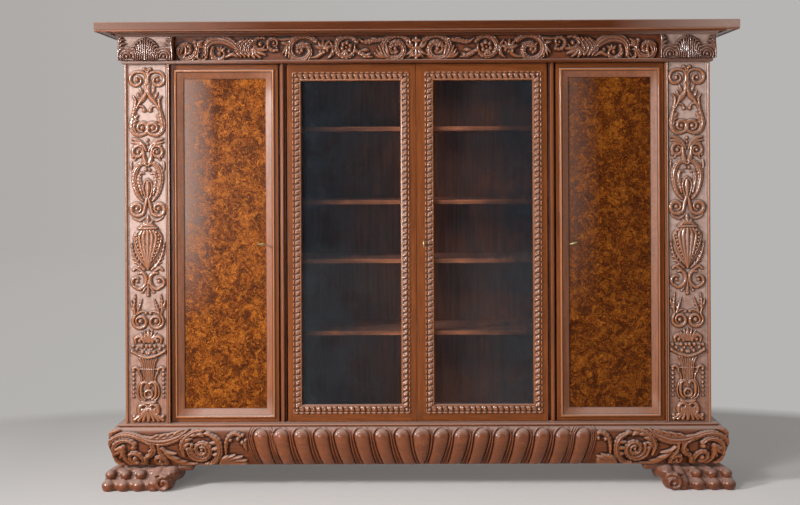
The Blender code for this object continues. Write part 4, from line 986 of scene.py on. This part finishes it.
RAIL_MIDDLE = 419.0  # column of the base rail's middle in the photograph
RAIL_ROW = 426.3  # and the row of its top edge
RAIL_SQUARE_SHARE = 0.989  # the rail stands nearer to the camera, so its squares are smaller
SWELL_MOST = 0.0310  # the rail's greatest swell beyond the ledge over it
LOBE_PITCH = 19.95  # squares from one gadroon to the next
LOBE_SHIFT = 3.6  # the middle gadroon stands this many squares to the right of the middle
LOBE_LEAN = 8.4  # squares that a gadroon's foot stands nearer to the middle than its head
LOBE_HEAD = 9.4  # squares from the top to the middle of its round head
LOBES_EACH_SIDE = 8


def rail_curve():
    """Shares of the rail's height from the top and its outward swell there, as the frame's rail has it."""
    shares = ((0, 0.42), (0.08, 0.85), (0.30, 1), (0.53, 0.88), (0.77, 0.50), (0.92, 0.0), (1, -0.25))
    line = smooth_line(shares, 0.01)[0]
    return line[:, 0], line[:, 1]


def rail_face(reach_of):
    """Places on the swelling rail: squares along it and down it, heights along its normal.
    reach_of turns squares along the rail and its swell into a place along X."""
    low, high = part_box("base_front")
    tall = high.z - low.z
    shares, swells = rail_curve()
    ledge = low.y + SWELL_MOST
    slopes = np.gradient(swells * SWELL_MOST, shares * tall)

    def place(across, down, rise):
        share = np.clip(down * SQUARE / tall, 0, 1)
        out = np.interp(share, shares, swells) * SWELL_MOST
        tilt = np.interp(share, shares, slopes)
        length = np.hypot(1, tilt)
        out = out + rise / length
        level = high.z - down * SQUARE + rise * tilt / length
        return np.column_stack([reach_of(across, out), ledge - out, level])

    return place


def draw_gadroons(c):
    """Leaning gadroons between double fillets. Each narrows towards its foot, and the middle one is an
    upright drop, closed at its foot."""
    down = c.down[:, None]
    deep = c.down[-1]
    share = np.clip((down - 1.0) / (deep - 1.0), 0, 1)
    above = np.clip(LOBE_HEAD - down, 0, None)  # a lobe's head is round
    field = np.zeros_like(c.height)
    for number in range(-LOBES_EACH_SIDE, LOBES_EACH_SIDE + 1):
        axis = LOBE_SHIFT + LOBE_PITCH * number - np.sign(number) * LOBE_LEAN * share**1.7
        half = 7.6 - 1.7 * share if number else 8.2 * np.clip(1 - share**2.6, 0, 1) ** 0.8 + 0.3
        away = np.hypot(c.across[None, :] - axis, above)
        field = np.maximum(field, np.sqrt(dome(away, half)))
        outermost = abs(number) == LOBES_EACH_SIDE
        for gap in (1.75, 3.5, 5.6) if outermost else (1.75,):
            ridge = 0.40 * np.exp(-(((away - half - gap) / 0.75) ** 2))
            field = np.maximum(field, np.where(away < half + gap + 1.5, ridge, 0))
    c.height = field * np.clip((deep - 0.2 - down) / 2.5, 0, 1) ** 0.5


def draw_rail_end(c):
    """Acanthus scrolls of the rail's ends."""
    t = Tracing(c, RAIL_MIDDLE, RAIL_ROW, RAIL_SQUARE_SHARE, 0.9, 0.85)
    # corner leaf and the stem that sweeps along the top
    t.stroke(((127, 428.6), (120, 431), (114.6, 437), (113, 446), (117, 456), (123, 463)),
             (0.5, 1.6, 2.0, 2.0, 1.6, 0.8))
    t.stroke(((117, 445), (121, 437.6), (130, 433), (141, 433.4), (151, 437.4), (158, 441.6)),
             (1.0, 1.6, 1.6, 1.5, 1.5, 1.2))
    t.stroke(((148, 435.4), (160, 438.6), (172, 438.6), (184, 434.4), (193, 428)),
             (1.2, 2.3, 2.6, 2.2, 0.4), 0.85)
    for x, y in ((163, 433.4), (170, 432.6), (177, 431.4), (184, 429.6)):
        t.leaf((x - 6, y + 5), (x + 4, y - 1), 1.2, 0.1)
    for x, y in ((158, 442.6), (166, 442.4), (174, 441), (181, 438.4), (187, 434.6)):
        t.leaf((x - 4, y - 3.4), (x + 3.2, y), 1.2, -0.1)
    # outer volute, its hook and leaf lobes
    t.volute((139.4, 456.5), (129.6, 453), 1.35, 1, 1.3, 2.4, 3.6)
    t.stroke(((121, 452), (124, 442), (131, 437.8), (138, 438.4), (142.6, 442)), (0.9, 1.5, 1.5, 1.3, 1.2))
    t.stamp(141.6, 444.8, 2.3, 1.0)
    for tip in ((119.4, 447), (120.6, 452), (124.2, 456.4), (129, 446)):
        t.leaf((131.4, 443.6), tip, 1.5, 0.12)
    t.stroke(((158, 441), (159.6, 447), (156, 452), (150.6, 455), (147, 461)), (1.3, 1.6, 1.3, 1.1, 0.9))
    for tip in ((153.6, 449), (151.6, 453.4)):
        t.leaf((159, 446), tip, 1.2, 0.15)
    # second volute and the leaf beyond it
    t.stroke(((165, 443), (165.4, 450), (168.4, 456), (166.4, 462.4)), (1.0, 1.3, 1.2, 1.1))
    t.volute((162.4, 459.4), (167, 463.2), 0.95, 1, 1.1, 1.8, 2.9)
    t.stroke(((167.6, 445.4), (172, 449.6), (180, 451.2)), (0.7, 1.1, 0.5))
    for root, tip in (((170, 451), (182.4, 456.6)), ((173, 455), (189, 459.4)), ((177, 459), (198, 461.8)),
                      ((186, 461), (208, 462.6))):
        t.leaf(root, tip, 1.6, -0.12, 0.95)
    # large scroll in its ring of leaves
    t.volute((205.4, 447.4), (196, 443), 1.9, 1, 1.25, 1.8, 2.8)
    t.stroke(((188, 453), (186.6, 444), (190.4, 435.4), (198, 430.4), (207, 429)), (0.8, 1.6, 1.7, 1.5, 0.6))
    for root, tip in (((189, 446), (194.6, 441)), ((190, 439.6), (196.4, 437)), ((195, 434), (201.4, 434)),
                      ((201, 432.4), (208, 434.6)), ((208, 431.6), (214.6, 434.4))):
        t.leaf(root, tip, 1.5, 0.15)
    t.stroke(((212, 432.4), (219.4, 437), (222.4, 445), (220.6, 454), (214.4, 460.6), (206, 462)),
             (0.9, 1.7, 1.8, 1.8, 1.5, 0.8))
    for root, tip in (((221, 439), (212.8, 440.4)), ((222, 445), (214, 446.4)), ((221, 451), (214.6, 452.4))):
        t.leaf(root, tip, 1.4, 0.12)
    t.stroke(((192, 447), (194.4, 454), (201, 457.6), (208.6, 456.6)), (1.3, 1.5, 1.5, 1.0))
    # curl, flower and the sprays beside the gadroons
    t.stroke(((228, 451), (228.6, 441), (231.6, 434), (237.4, 431.4), (242, 434.4)),
             (0.7, 1.1, 1.3, 1.3, 1.0))
    t.stamp(232.8, 438, 1.7, 0.95)
    for x, y in ((239.6, 437), (244, 433.4), (247, 438.4), (243.6, 440.4)):
        t.stamp(x, y, 1.9, 0.9)
    t.leaf((244, 440), (249.4, 452.4), 1.5, 0.1)
    t.leaf((247, 438), (252.6, 447), 1.3, 0.1)
    for tip in ((229.6, 453.4), (236.4, 452.6), (243.4, 454.2), (249.6, 458), (252, 462.4), (238, 460.4)):
        t.stroke(((219.6, 463), ((219.6 + tip[0]) / 2, (463 + tip[1]) / 2 - 1.6), tip), (0.8, 1.4, 0.4))


class BOOKCASE_OT_base(bpy.types.Operator):
    """Carve the swelling base rail and its returns"""

    bl_idname = "bookcase.base"
    bl_label = "Carved base rail"

    def execute(self, context):
        finishes, sizes, _ = settings()
        low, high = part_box("base_front")
        deep = (high.z - low.z) / SQUARE
        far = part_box("bottom_board")[1].x / SQUARE
        first, last = ((side * (LOBES_EACH_SIDE + 0.62)) * LOBE_PITCH + LOBE_SHIFT for side in (-1, 1))
        c = Carving(first, last, 0.1, deep - 0.1, sizes.step * 1.15, sizes.lobe_rise)
        draw_gadroons(c)
        look = waxed_walnut("base_gadroons_walnut", finishes.case_stain, "X", True, shine=0.42, worn=0.1)
        place = rail_face(lambda across, out: across * SQUARE)
        carved_board("base_front_gadroons", c, place, look)
        for end, side in SIDES.items():
            near = abs(first if side < 0 else last)
            c = Carving(near + 0.05, far, 0.1, deep - 0.1, sizes.step, sizes.base_rise, 1.6, 0.22)
            draw_rail_end(c)
            c.gouge()
            c.height *= np.clip((far - 0.3 - c.across) / 2.2, 0, 1) ** 0.5
            c.height *= np.clip((c.across - near - 0.2) / 2.5, 0, 1) ** 0.5
            c.height *= np.clip((deep - 0.4 - c.down) / 2.0, 0, 1)[:, None] ** 0.5
            name = f"base_scrolls_{end}_walnut"
            look = waxed_walnut(name, finishes.case_stain, "X", True, gloss=0.28, shine=0.38, sheen_haze=0.10)

            def reach(across, out, side=side, near=near):
                """Places along X, spread towards the mitre as far as the rail swells."""
                share = np.clip((across - near) / (far - near), 0, 1)
                return side * (near + share * (far - near + out / SQUARE)) * SQUARE

            carved_board(f"base_front_scrolls_{end}", c, rail_face(reach), look, soft=7)
        return {"FINISHED"}


# Lion feet

PAW_MIDDLE = 419.0  # column of the object's middle at its feet, in the photograph
PAW_ROW = 490.5  # and the row of the floor under the left foot
PAW_SQUARE = 0.004163  # a photographed square at the toes' distance
PAW_VOXEL = 0.0030
TOE_COLUMNS = (107.4, 122.4, 137.8)


@functools.cache
def unit_ball():
    """A round mesh of radius 1, made once."""
    bm = bmesh.new()
    bmesh.ops.create_uvsphere(bm, u_segments=14, v_segments=9, radius=1)
    mesh = bpy.data.meshes.new("unit_ball")
    bm.to_mesh(mesh)
    bm.free()
    return mesh


def ball(bm, middle, radii):
    """Adds a stretched ball."""
    made = unit_ball().copy()
    made.transform(Matrix.Translation(middle) @ Matrix.Diagonal((*radii, 1)))
    bm.from_mesh(made)
    bpy.data.meshes.remove(made)


def limb(bm, points, radii):
    """A soft bar through points, of balls set close together."""
    points = [Vector(point) for point in points]
    for (start, end), (thick, thin) in zip(zip(points, points[1:]), zip(radii, radii[1:])):
        steps = max(1, int((end - start).length / (0.5 * min(thick, thin))))
        for step in range(steps + 1):
            share = step / steps
            radius = thick + (thin - thick) * share
            ball(bm, start.lerp(end, share), (radius, radius, radius))


def coil(bm, middle, radius, thick, turns, side):
    """A raised scroll on a foot's front, wound in from its rim."""
    points = []
    steps = int(16 * turns)
    for step in range(steps + 1):
        share = step / steps
        reach = radius * (1 - 0.78 * share)
        angle = math.radians(70) + side * turns * math.tau * share
        points.append((middle[0] + reach * math.cos(angle), middle[1], middle[2] + reach * math.sin(angle)))
    limb(bm, points, [thick * (1 - 0.4 * step / steps) for step in range(steps + 1)])


def shape_paw(bm, side, front):
    """A lion's paw of three toes and a rounded heel. Its places are columns of the photograph's left foot,
    metres behind the foot's front, and rows; side -1 is the left foot."""

    def at(column, back, row):
        return side * (PAW_MIDDLE - column) * PAW_SQUARE, front + back, (PAW_ROW - row) * PAW_SQUARE

    def lump(place, radii):
        ball(bm, at(*place), radii)

    def bar(places, radii):
        limb(bm, [at(*place) for place in places], radii)

    # toes with their pads, knuckles and tendons
    for number, toe in enumerate(TOE_COLUMNS):
        knuckle = toe + 1.6
        lump((toe, 0.030, 485.2), (0.0290, 0.030, 0.0250))
        lump((toe, 0.040, 488.6), (0.0275, 0.036, 0.0150))
        lump((knuckle, 0.046, 475.2), (0.0235, 0.028, 0.0200))
        bar(((knuckle, 0.062, 474.6), (toe + 13 + 2 * number, 0.120, 468.0)), (0.0185, 0.0150))
        bar(((toe, 0.045, 484), (knuckle, 0.060, 477)), (0.022, 0.019))
    bar(((109, 0.068, 482.5), (160, 0.068, 482.5)), (0.031, 0.034))
    bar(((110, 0.040, 485.4), (152, 0.040, 485.4)), (0.0240, 0.0245))
    bar(((112, 0.078, 475.4), (152, 0.078, 474.6)), (0.0205, 0.0230))
    # the inner bulge, heel and instep
    bar(((152.8, 0.034, 484.2), (157, 0.076, 474.6), (165, 0.116, 468.6)), (0.0265, 0.028, 0.024))
    lump((152.8, 0.040, 488.4), (0.0250, 0.034, 0.0160))
    lump((140, 0.140, 479), (0.128, 0.085, 0.050))
    lump((164, 0.062, 482.2), (0.041, 0.052, 0.043))
    lump((169, 0.110, 475), (0.047, 0.085, 0.042))
    bar(((120, 0.122, 469.6), (172, 0.118, 469.4)), (0.018, 0.022))
    bar(((115, 0.108, 472.4), (162, 0.108, 471.4)), (0.019, 0.021))
    bar(((122, 0.170, 478), (170, 0.165, 478)), (0.038, 0.040))
    # the heel's scroll and its brow
    coil(bm, at(163.6, 0.009, 483.0), 0.0325, 0.0080, 1.4, -side)
    brow = ((154.5, 0.030, 475.6), (160, 0.022, 474.0), (167, 0.022, 475.4), (171.5, 0.030, 479.6))
    bar(brow, (0.0040, 0.0060, 0.0060, 0.0035))
    # the small scrolled bracket behind the heel
    bar(((172, 0.085, 467), (191, 0.085, 467.0)), (0.013, 0.012))
    bar(((179, 0.080, 470), (188.6, 0.078, 469.4)), (0.013, 0.0155))


def make_foot(end, side, look):
    """The paw's rough forms grown together, smoothed, and cut flat on the floor, under the rail and
    towards the case's side."""
    node = f"paw_foot_{end}"
    low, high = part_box(f"paw_foot_{end}")
    bm = bmesh.new()
    shape_paw(bm, side, low.y)
    rough = bpy.data.meshes.new("rough_paw")
    bm.to_mesh(rough)
    bm.free()
    holder = bpy.data.objects.new("rough_paw", rough)
    bpy.context.scene.collection.objects.link(holder)
    grown = holder.modifiers.new("grown", "REMESH")
    grown.mode = "VOXEL"
    grown.voxel_size = PAW_VOXEL
    eased = holder.modifiers.new("eased", "SMOOTH")
    eased.factor = 0.5
    eased.iterations = 3
    graph = bpy.context.evaluated_depsgraph_get()
    mesh = bpy.data.meshes.new_from_object(holder.evaluated_get(graph))
    bpy.data.objects.remove(holder)
    bpy.data.meshes.remove(rough)
    bm = bmesh.new()
    bm.from_mesh(mesh)
    bpy.data.meshes.remove(mesh)
    outermost = low.x + CLEAR if side < 0 else high.x - CLEAR
    planes = (
        ((0, 0, CLEAR), (0, 0, -1)),
        ((0, 0, high.z - CLEAR), (0, 0, 1)),
        ((outermost, 0, 0), (side, 0, 0)),
    )
    for point, outward in planes:
        geom = bm.verts[:] + bm.edges[:] + bm.faces[:]
        cut = bmesh.ops.bisect_plane(bm, geom=geom, plane_co=point, plane_no=outward, clear_outer=True)
        rim = [item for item in cut["geom_cut"] if isinstance(item, bmesh.types.BMEdge)]
        if rim:
            bmesh.ops.holes_fill(bm, edges=rim)
    name = f"paw_{end}"
    add_piece(name, mesh_from(bm, name, 60), look, "cabinet", (node,))


class BOOKCASE_OT_feet(bpy.types.Operator):
    """Shape the two lion feet"""

    bl_idname = "bookcase.feet"
    bl_label = "Lion feet"

    def execute(self, context):
        finishes = settings()[0]
        for end, side in SIDES.items():
            name = f"paw_{end}_walnut"
            look = waxed_walnut(name, finishes.case_stain, "X", gloss=0.24, shine=0.45, dusted=0.5)
            make_foot(end, side, look)
        bpy.data.meshes.remove(unit_ball())
        unit_ball.cache_clear()
        return {"FINISHED"}


# Door mouldings

PLAIN_LAP = 0.0055  # the plain moulding laps this far over the door's frame
PLAIN_WIDE = 0.0350  # inwards from the frame's edge, as in the CAD
CARVED_WIDE = 0.0385
LANES = 36  # faces across a moulding
MOST_RISE = 0.0078  # in front of the doors' faces
PLAIN_STEP = 0.10  # length of the plain moulding's faces
LEAF_STEPS = 13  # faces along one leaf of the carved one
# the mouldings' sections: shares of the way inwards, and heights before the doors' faces
PLAIN_SECTION = (
    (0, 0.0003), (0.05, 0.0004), (0.07, 0.0040), (0.11, 0.0068), (0.17, 0.0078), (0.24, 0.0073),
    (0.29, 0.0052), (0.31, 0.0030), (0.36, 0.0026), (0.96, -0.0098), (1.0, -0.0104),
)
CARVED_SECTION = (
    (0, 0.0), (0.012, 0.0030), (0.05, 0.0062), (0.10, 0.0070), (0.155, 0.0054), (0.19, 0.0000),
    (0.23, -0.0002), (0.27, 0.0046), (0.38, 0.0070), (0.55, 0.0060), (0.70, 0.0034), (0.78, 0.0010),
    (0.92, 0.0002), (0.96, -0.006), (1.0, -0.0104),
)
# the leaves' crest line: the wax wears off near it, and painted shade darkens what lies deep below it
LEAF_CRESTS = ((0, 0.05, 0.60, 0.86, 1.0), (0.003, 0.0066, 0.0056, -0.001, -0.009))  # where the wax wears off


def leaf_run(share, along, period):
    """Heights of the running leaf, for a share of the way inwards and a length along: a bead cut in dashes
    at the outer edge, then slanting leaves with a midrib and a side vein, and dots in pairs."""
    phase = along / period % 1
    bead = np.where((share > 0.01) & (share < 0.175), -0.0056 * (np.abs(phase - 0.5) > 0.30), 0)
    leafy = np.clip((share - 0.21) / 0.05, 0, 1) * np.clip((0.80 - share) / 0.05, 0, 1)
    spread = np.abs((along / period + 0.6 * (share - 0.5)) % 1 - 0.5) * 2
    body = 0.0084 * np.sqrt(dome(spread, 0.88)) - 0.0078
    rib = -0.0026 * np.exp(-((spread / 0.10) ** 2)) - 0.0018 * np.exp(-(((spread - 0.48) / 0.10) ** 2))
    twin = np.abs((along / period / 2) % 1 - 0.5) * 2
    dots = 0.0060 * np.exp(-(((share - 0.66) / 0.06) ** 2) - (((twin - 0.26) / 0.13) ** 2))
    return bead + leafy * (body + rib + dots)


def frame_moulding(name, node, period=None):
    """A mitred moulding round a door's panel, or round its pane with leaves of a period: four runs, joined
    at the mitres and closed behind."""
    low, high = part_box(node)
    lap = 0.0 if period else PLAIN_LAP
    low, high = low - Vector((lap, 0, lap)), high + Vector((lap, 0, lap))
    width = lap + (CARVED_WIDE if period else PLAIN_WIDE)
    fine = period / LEAF_STEPS if period else PLAIN_STEP
    shares, rises = zip(*(CARVED_SECTION if period else PLAIN_SECTION))
    bm = bmesh.new()
    hollow, crest, raised = (bm.verts.layers.float.new(title) for title in ("hollow", "crest", "raised"))
    lengths = (high.x - low.x, high.z - low.z)
    corners = ((low.x, low.z, 1, 0), (high.x, low.z, 0, 1), (high.x, high.z, -1, 0), (low.x, high.z, 0, -1))
    for number, (x, z, east, up) in enumerate(corners):
        length = lengths[number % 2]
        steps = round(length / fine)
        for vert in bmesh.ops.create_grid(bm, x_segments=steps, y_segments=LANES, size=0.5)["verts"]:
            share = vert.co.y + 0.5
            inward = share * width
            along = inward + (vert.co.x + 0.5) * (length - 2 * inward)
            rise = float(np.interp(share, shares, rises))
            if period:
                at_mitre = abs(vert.co.x) > 0.4999  # where both runs have the same heights
                fitted = length / round(length / period)
                rise += float(leaf_run(share, *((inward, period) if at_mitre else (along, fitted))))
            rise = min(rise, MOST_RISE)
            if period:
                # painted shade with old wax, darker the deeper a point lies under the leaves' crest line
                below = float(np.interp(share, *LEAF_CRESTS)) - rise
                vert[hollow] = min(1, max(0, below / 0.0050 - 0.25))
                rubbed = 0.9 if share < 0.18 else 0.3 if share < 0.8 else 0
                vert[crest] = rubbed * min(1, max(0, 1 - below / 0.0018))
                vert[raised] = 0.8 * (1 - vert[hollow])
            else:
                # painted shade lines at the moulding's outer foot, at the ridge's foot and at the panel's
                # edge
                vert[hollow] = max(math.exp(-(((share - at) / 0.03) ** 2)) for at in (0.02, 0.33, 1.0))
                vert[crest] = 0.9 * math.exp(-(((share - 0.16) / 0.07) ** 2))
                vert[raised] = 1.0 if share < 0.3 else 0.35
            vert.co = (x + east * along - up * inward, FACE - rise, z + up * along + east * inward)
    bmesh.ops.remove_doubles(bm, verts=bm.verts[:], dist=MITRE_WELD)
    bmesh.ops.bridge_loops(bm, edges=walls_from_rim(bm, 1, high.y - CLEAR))
    return mesh_from(bm, name, 50)


class BOOKCASE_OT_mouldings(bpy.types.Operator):
    """Run the mouldings of the four doors"""

    bl_idname = "bookcase.mouldings"
    bl_label = "Door mouldings"

    def execute(self, context):
        finishes, sizes, _ = settings()
        for hand in ("left", "right"):
            for kind, period, polish in (
                ("panel", None, {"shine": 0.7, "sheen_haze": 0.20, "dusted": 1.0}),
                ("glass", sizes.leaf_period, {"shine": 0.9, "sheen_haze": 0.24}),
            ):
                door = f"{hand}_{kind}_door"
                name, node = f"{door}_mitred_moulding", f"{door}_moulding"
                mesh = frame_moulding(name, node, period)
                look = waxed_walnut(
                    f"{name}_walnut", finishes.stain, "Z", True, gloss=0.20, worn=0.5, **polish
                )
                add_piece(name, mesh, look, door, (node,))
        return {"FINISHED"}


# Finishes of the CAD nodes

STILE, RAIL = 0.024, 0.032  # how wide a door's frame shows beside and above its moulding


class BOOKCASE_OT_finishes(bpy.types.Operator):
    """Give every board, moulding, pane and fitting its finish"""

    bl_idname = "bookcase.finishes"
    bl_label = "Finishes"

    def execute(self, context):
        finishes = settings()[0]
        for node in NODES:
            mesh = NODES[node].data
            look = self.look_of(node, finishes)
            mesh.materials.clear()
            mesh.materials.append(look)
        return {"FINISHED"}

    def look_of(self, node, finishes):
        """The finish of one node, by its name."""
        low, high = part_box(node)
        if node.endswith("_pane"):
            return old_glass(node)
        if node.endswith("_panel") and "door" in node:
            # the left door's veneer is painted lighter, as lit, and with more painted sheen than the right
            # one's
            glow, painted_sheen = (1.0, 0.75) if node.startswith("left") else (0.68, 0.25)
            return burl_veneer(node, glow, painted_sheen)
        if "lock_case" in node or "pivot" in node:
            return worn_metal(node, finishes.iron, 0.5)
        if node.endswith("_key") or "bolt" in node:
            return worn_metal(node, finishes.brass, 0.33)
        if "shelf" in node:
            # painted light: the shelves are 2.7 times lighter than the other wood inside, for the light on
            # their edges
            return plain_wood(node, scaled(finishes.inside, 2.7), "X")
        if node in ("back_panel", "base_back") or "rear_foot" in node:
            return plain_wood(node, finishes.inside, "Z")
        if node.endswith("_frame"):
            rails = (low.z + RAIL, high.z - RAIL, low.x + STILE, high.x - STILE)
            return waxed_walnut(node, scaled(finishes.stain, 0.88), rails=rails)
        if "partition" in node:
            return waxed_walnut(node, finishes.stain, shine=0.6)
        if "pilaster" in node or "moulding" in node or node in ("side_l", "side_r"):
            return waxed_walnut(node, finishes.stain)
        if node == "cornice":
            # the cornice is paler with painted sheen towards its ends
            return waxed_walnut(node, scaled(finishes.case_stain, 0.62), "X", ends=(0.27, 0.60))
        if node == "top_board":
            # the top board is paler with painted sheen and highlight towards its ends
            return waxed_walnut(node, scaled(finishes.case_stain, 0.85), "X", shine=0.4, ends=(0.45, 0.25))
        size = high - low
        longest = max(range(3), key=lambda axis: size[axis])
        stain = finishes.stain if node == "bottom_board" else finishes.case_stain
        return waxed_walnut(node, stain, "XYZ"[longest])


# Stage

FLOOR_HALF = 14.0  # half the floor's width and depth
LAMPS = (  # name, place, what it points at, size, and the setting that holds its power
    ("lamp_front", (-2.0, -5.1, 1.2), (-0.3, 0, 1.1), (1.2, 1.3), "front"),
    ("lamp_side", (-4.4, -3.0, 2.4), (-0.3, 0, 0.9), (0.8, 0.8), "side"),
    ("lamp_top", (-3.0, -4.2, 4.6), (0, 0, 0.9), (0.9, 0.9), "top"),
    ("lamp_fill", (3.6, -5.0, 1.6), (0, 0, 0.9), (1.8, 1.8), "fill"),
)
EYE_HEIGHT = 1.40
EYE_DISTANCE = 5.5
EYE_TURN, EYE_ROLL = 0.35, -0.25  # degrees


def seen_directly(add):
    """1 for what the camera, the glass or the metal sees of the background, 0 for the light it gives."""
    share = 0.0
    for ray in ("Is Camera Ray", "Is Glossy Ray", "Is Transmission Ray"):
        share = add("Math", share, add("LightPath", out=ray), operation="MAXIMUM")
    return share


class BOOKCASE_OT_stage(bpy.types.Operator):
    """Set the floor, background, lamps and camera"""

    bl_idname = "bookcase.stage"
    bl_label = "Floor, lamps and camera"

    def execute(self, context):
        stage = settings()[2]
        self.make_floor(stage)
        self.make_room(stage)
        for name, place, target, size, power in LAMPS:
            lamp = bpy.data.lights.new(name, "AREA")
            lamp.shape = "RECTANGLE"
            lamp.size, lamp.size_y = size
            lamp.energy = getattr(stage, power)
            obj = bpy.data.objects.new(name, lamp)
            obj.location = place
            obj.rotation_euler = (Vector(target) - Vector(place)).to_track_quat("-Z", "Y").to_euler()
            bpy.context.scene.collection.objects.link(obj)
        self.make_camera()
        bpy.context.scene.view_settings.view_transform = "Standard"
        return {"FINISHED"}

    def make_floor(self, stage):
        """Plain mottled paper, darker towards the left as painted shade, and fading into the background
        further off;
        near the case a fifth of what the camera sees of it is the background's colour, painted light that
        lifts its shadows.
        """
        bm = bmesh.new()
        bmesh.ops.create_grid(bm, x_segments=8, y_segments=8, size=FLOOR_HALF)
        mesh = mesh_from(bm, "floor")
        if mesh.polygons[0].normal.z < 0:
            mesh.flip_normals()
        look, add, place = new_look("floor_paper")
        across = add("SeparateXYZ", place, out="X")
        mottle = add("TexNoise", place, Scale=3)
        # painted shade: the paper goes to half its colour towards the left
        paper, darker = (
            add("Mix", mottle, scaled(stage.floor, most), scaled(stage.floor, least), data_type="RGBA")
            for most, least in ((1, 0.97), (0.49, 0.475))
        )
        colour = layered(add, darker, [(across, -1.8, 0.9, 0, 1, paper)])
        backdrop = layered(add, stage.left, [(across, -6.5, 0.0, 0, 1, stage.right)])
        span = add("VectorMath", place, (0.28, 0.54, 1), operation="MULTIPLY")
        # painted light: even near the case a fifth of the floor as seen is the background's colour, which
        # lightens the case's shadow on it
        fade = add("MapRange", add("VectorMath", span, operation="LENGTH"), 0.86, 0.97, 0.2, 1.0)
        share = add("Math", seen_directly(add), fade, operation="MULTIPLY")
        shader = add("BsdfPrincipled", **{"Base Color": colour, "Roughness": 0.8})
        add("OutputMaterial", Surface=add("MixShader", share, shader, add("Emission", backdrop)))
        mesh.materials.append(look)
        floor = bpy.data.objects.new("floor", mesh)
        bpy.context.scene.collection.objects.link(floor)

    def make_room(self, stage):
        """The background that the camera, the glass and the metal see, and the even light of the room.
        The polish shows the room behind the camera unlit."""
        world = bpy.data.worlds.new("room")
        world.use_nodes = True
        world.node_tree.nodes.clear()
        add = functools.partial(add_node, world.node_tree)
        way = add("TexCoord", out="Generated")
        frontward = add("MapRange", add("SeparateXYZ", way, out="Y"), 0.0, -0.6)
        unlit = add("Math", frontward, add("LightPath", out="Is Glossy Ray"), operation="MULTIPLY")
        sideways = add("SeparateXYZ", way, out="X")
        layers = ((sideways, -0.32, 0.0, 0, 1, stage.right), (unlit, 0, 1, 0, 1, stage.unlit))
        seen = add("Background", layered(add, stage.left, layers), 1.0)
        light = add("Background", (1, 0.985, 0.97), stage.sky)
        add("OutputWorld", Surface=add("MixShader", seen_directly(add), light, seen))
        bpy.context.scene.world = world

    def make_camera(self):
        """A level camera at eye height, nearly square to the doors, its view shifted down to the floor."""
        camera = bpy.data.cameras.new("camera")
        camera.sensor_width = 36
        camera.lens = 58.46
        camera.shift_x = -0.0113
        camera.shift_y = -0.1218
        obj = bpy.data.objects.new("camera", camera)
        obj.location = (0, FACE - EYE_DISTANCE, EYE_HEIGHT)
        upright = Matrix.Rotation(math.radians(EYE_TURN), 3, "Z") @ Matrix.Rotation(math.radians(90), 3, "X")
        obj.rotation_euler = (upright @ Matrix.Rotation(math.radians(EYE_ROLL), 3, "Z")).to_euler()
        bpy.context.scene.collection.objects.link(obj)
        bpy.context.scene.camera = obj


class BOOKCASE_PT_panel(bpy.types.Panel):
    """The steps that dress the bookcase"""

    bl_label = "Bookcase"
    bl_idname = "BOOKCASE_PT_panel"
    bl_space_type = "VIEW_3D"
    bl_region_type = "UI"
    bl_category = "Bookcase"

    def draw(self, context):
        for operator in OPERATORS:
            self.layout.operator(operator.bl_idname)


OPERATORS = (
    BOOKCASE_OT_finishes,
    BOOKCASE_OT_pilasters,
    BOOKCASE_OT_frieze,
    BOOKCASE_OT_cornice,
    BOOKCASE_OT_base,
    BOOKCASE_OT_feet,
    BOOKCASE_OT_mouldings,
    BOOKCASE_OT_stage,
)
GROUPS = (
    (BookcaseFinishes, "bookcase_finishes"),
    (BookcaseCarving, "bookcase_carving"),
    (BookcaseStage, "bookcase_stage"),
)


def register():
    for group, title in GROUPS:
        bpy.utils.register_class(group)
        setattr(bpy.types.Scene, title, bpy.props.PointerProperty(type=group))
    for kind in (*OPERATORS, BOOKCASE_PT_panel):
        bpy.utils.register_class(kind)


def unregister():
    for kind in (BOOKCASE_PT_panel, *reversed(OPERATORS)):
        bpy.utils.unregister_class(kind)
    for group, title in reversed(GROUPS):
        delattr(bpy.types.Scene, title)
        bpy.utils.unregister_class(group)


def main():
    register()
    for operator in OPERATORS:
        family, step = operator.bl_idname.split(".")
        getattr(getattr(bpy.ops, family), step)()


if __name__ == "__main__":
    main()
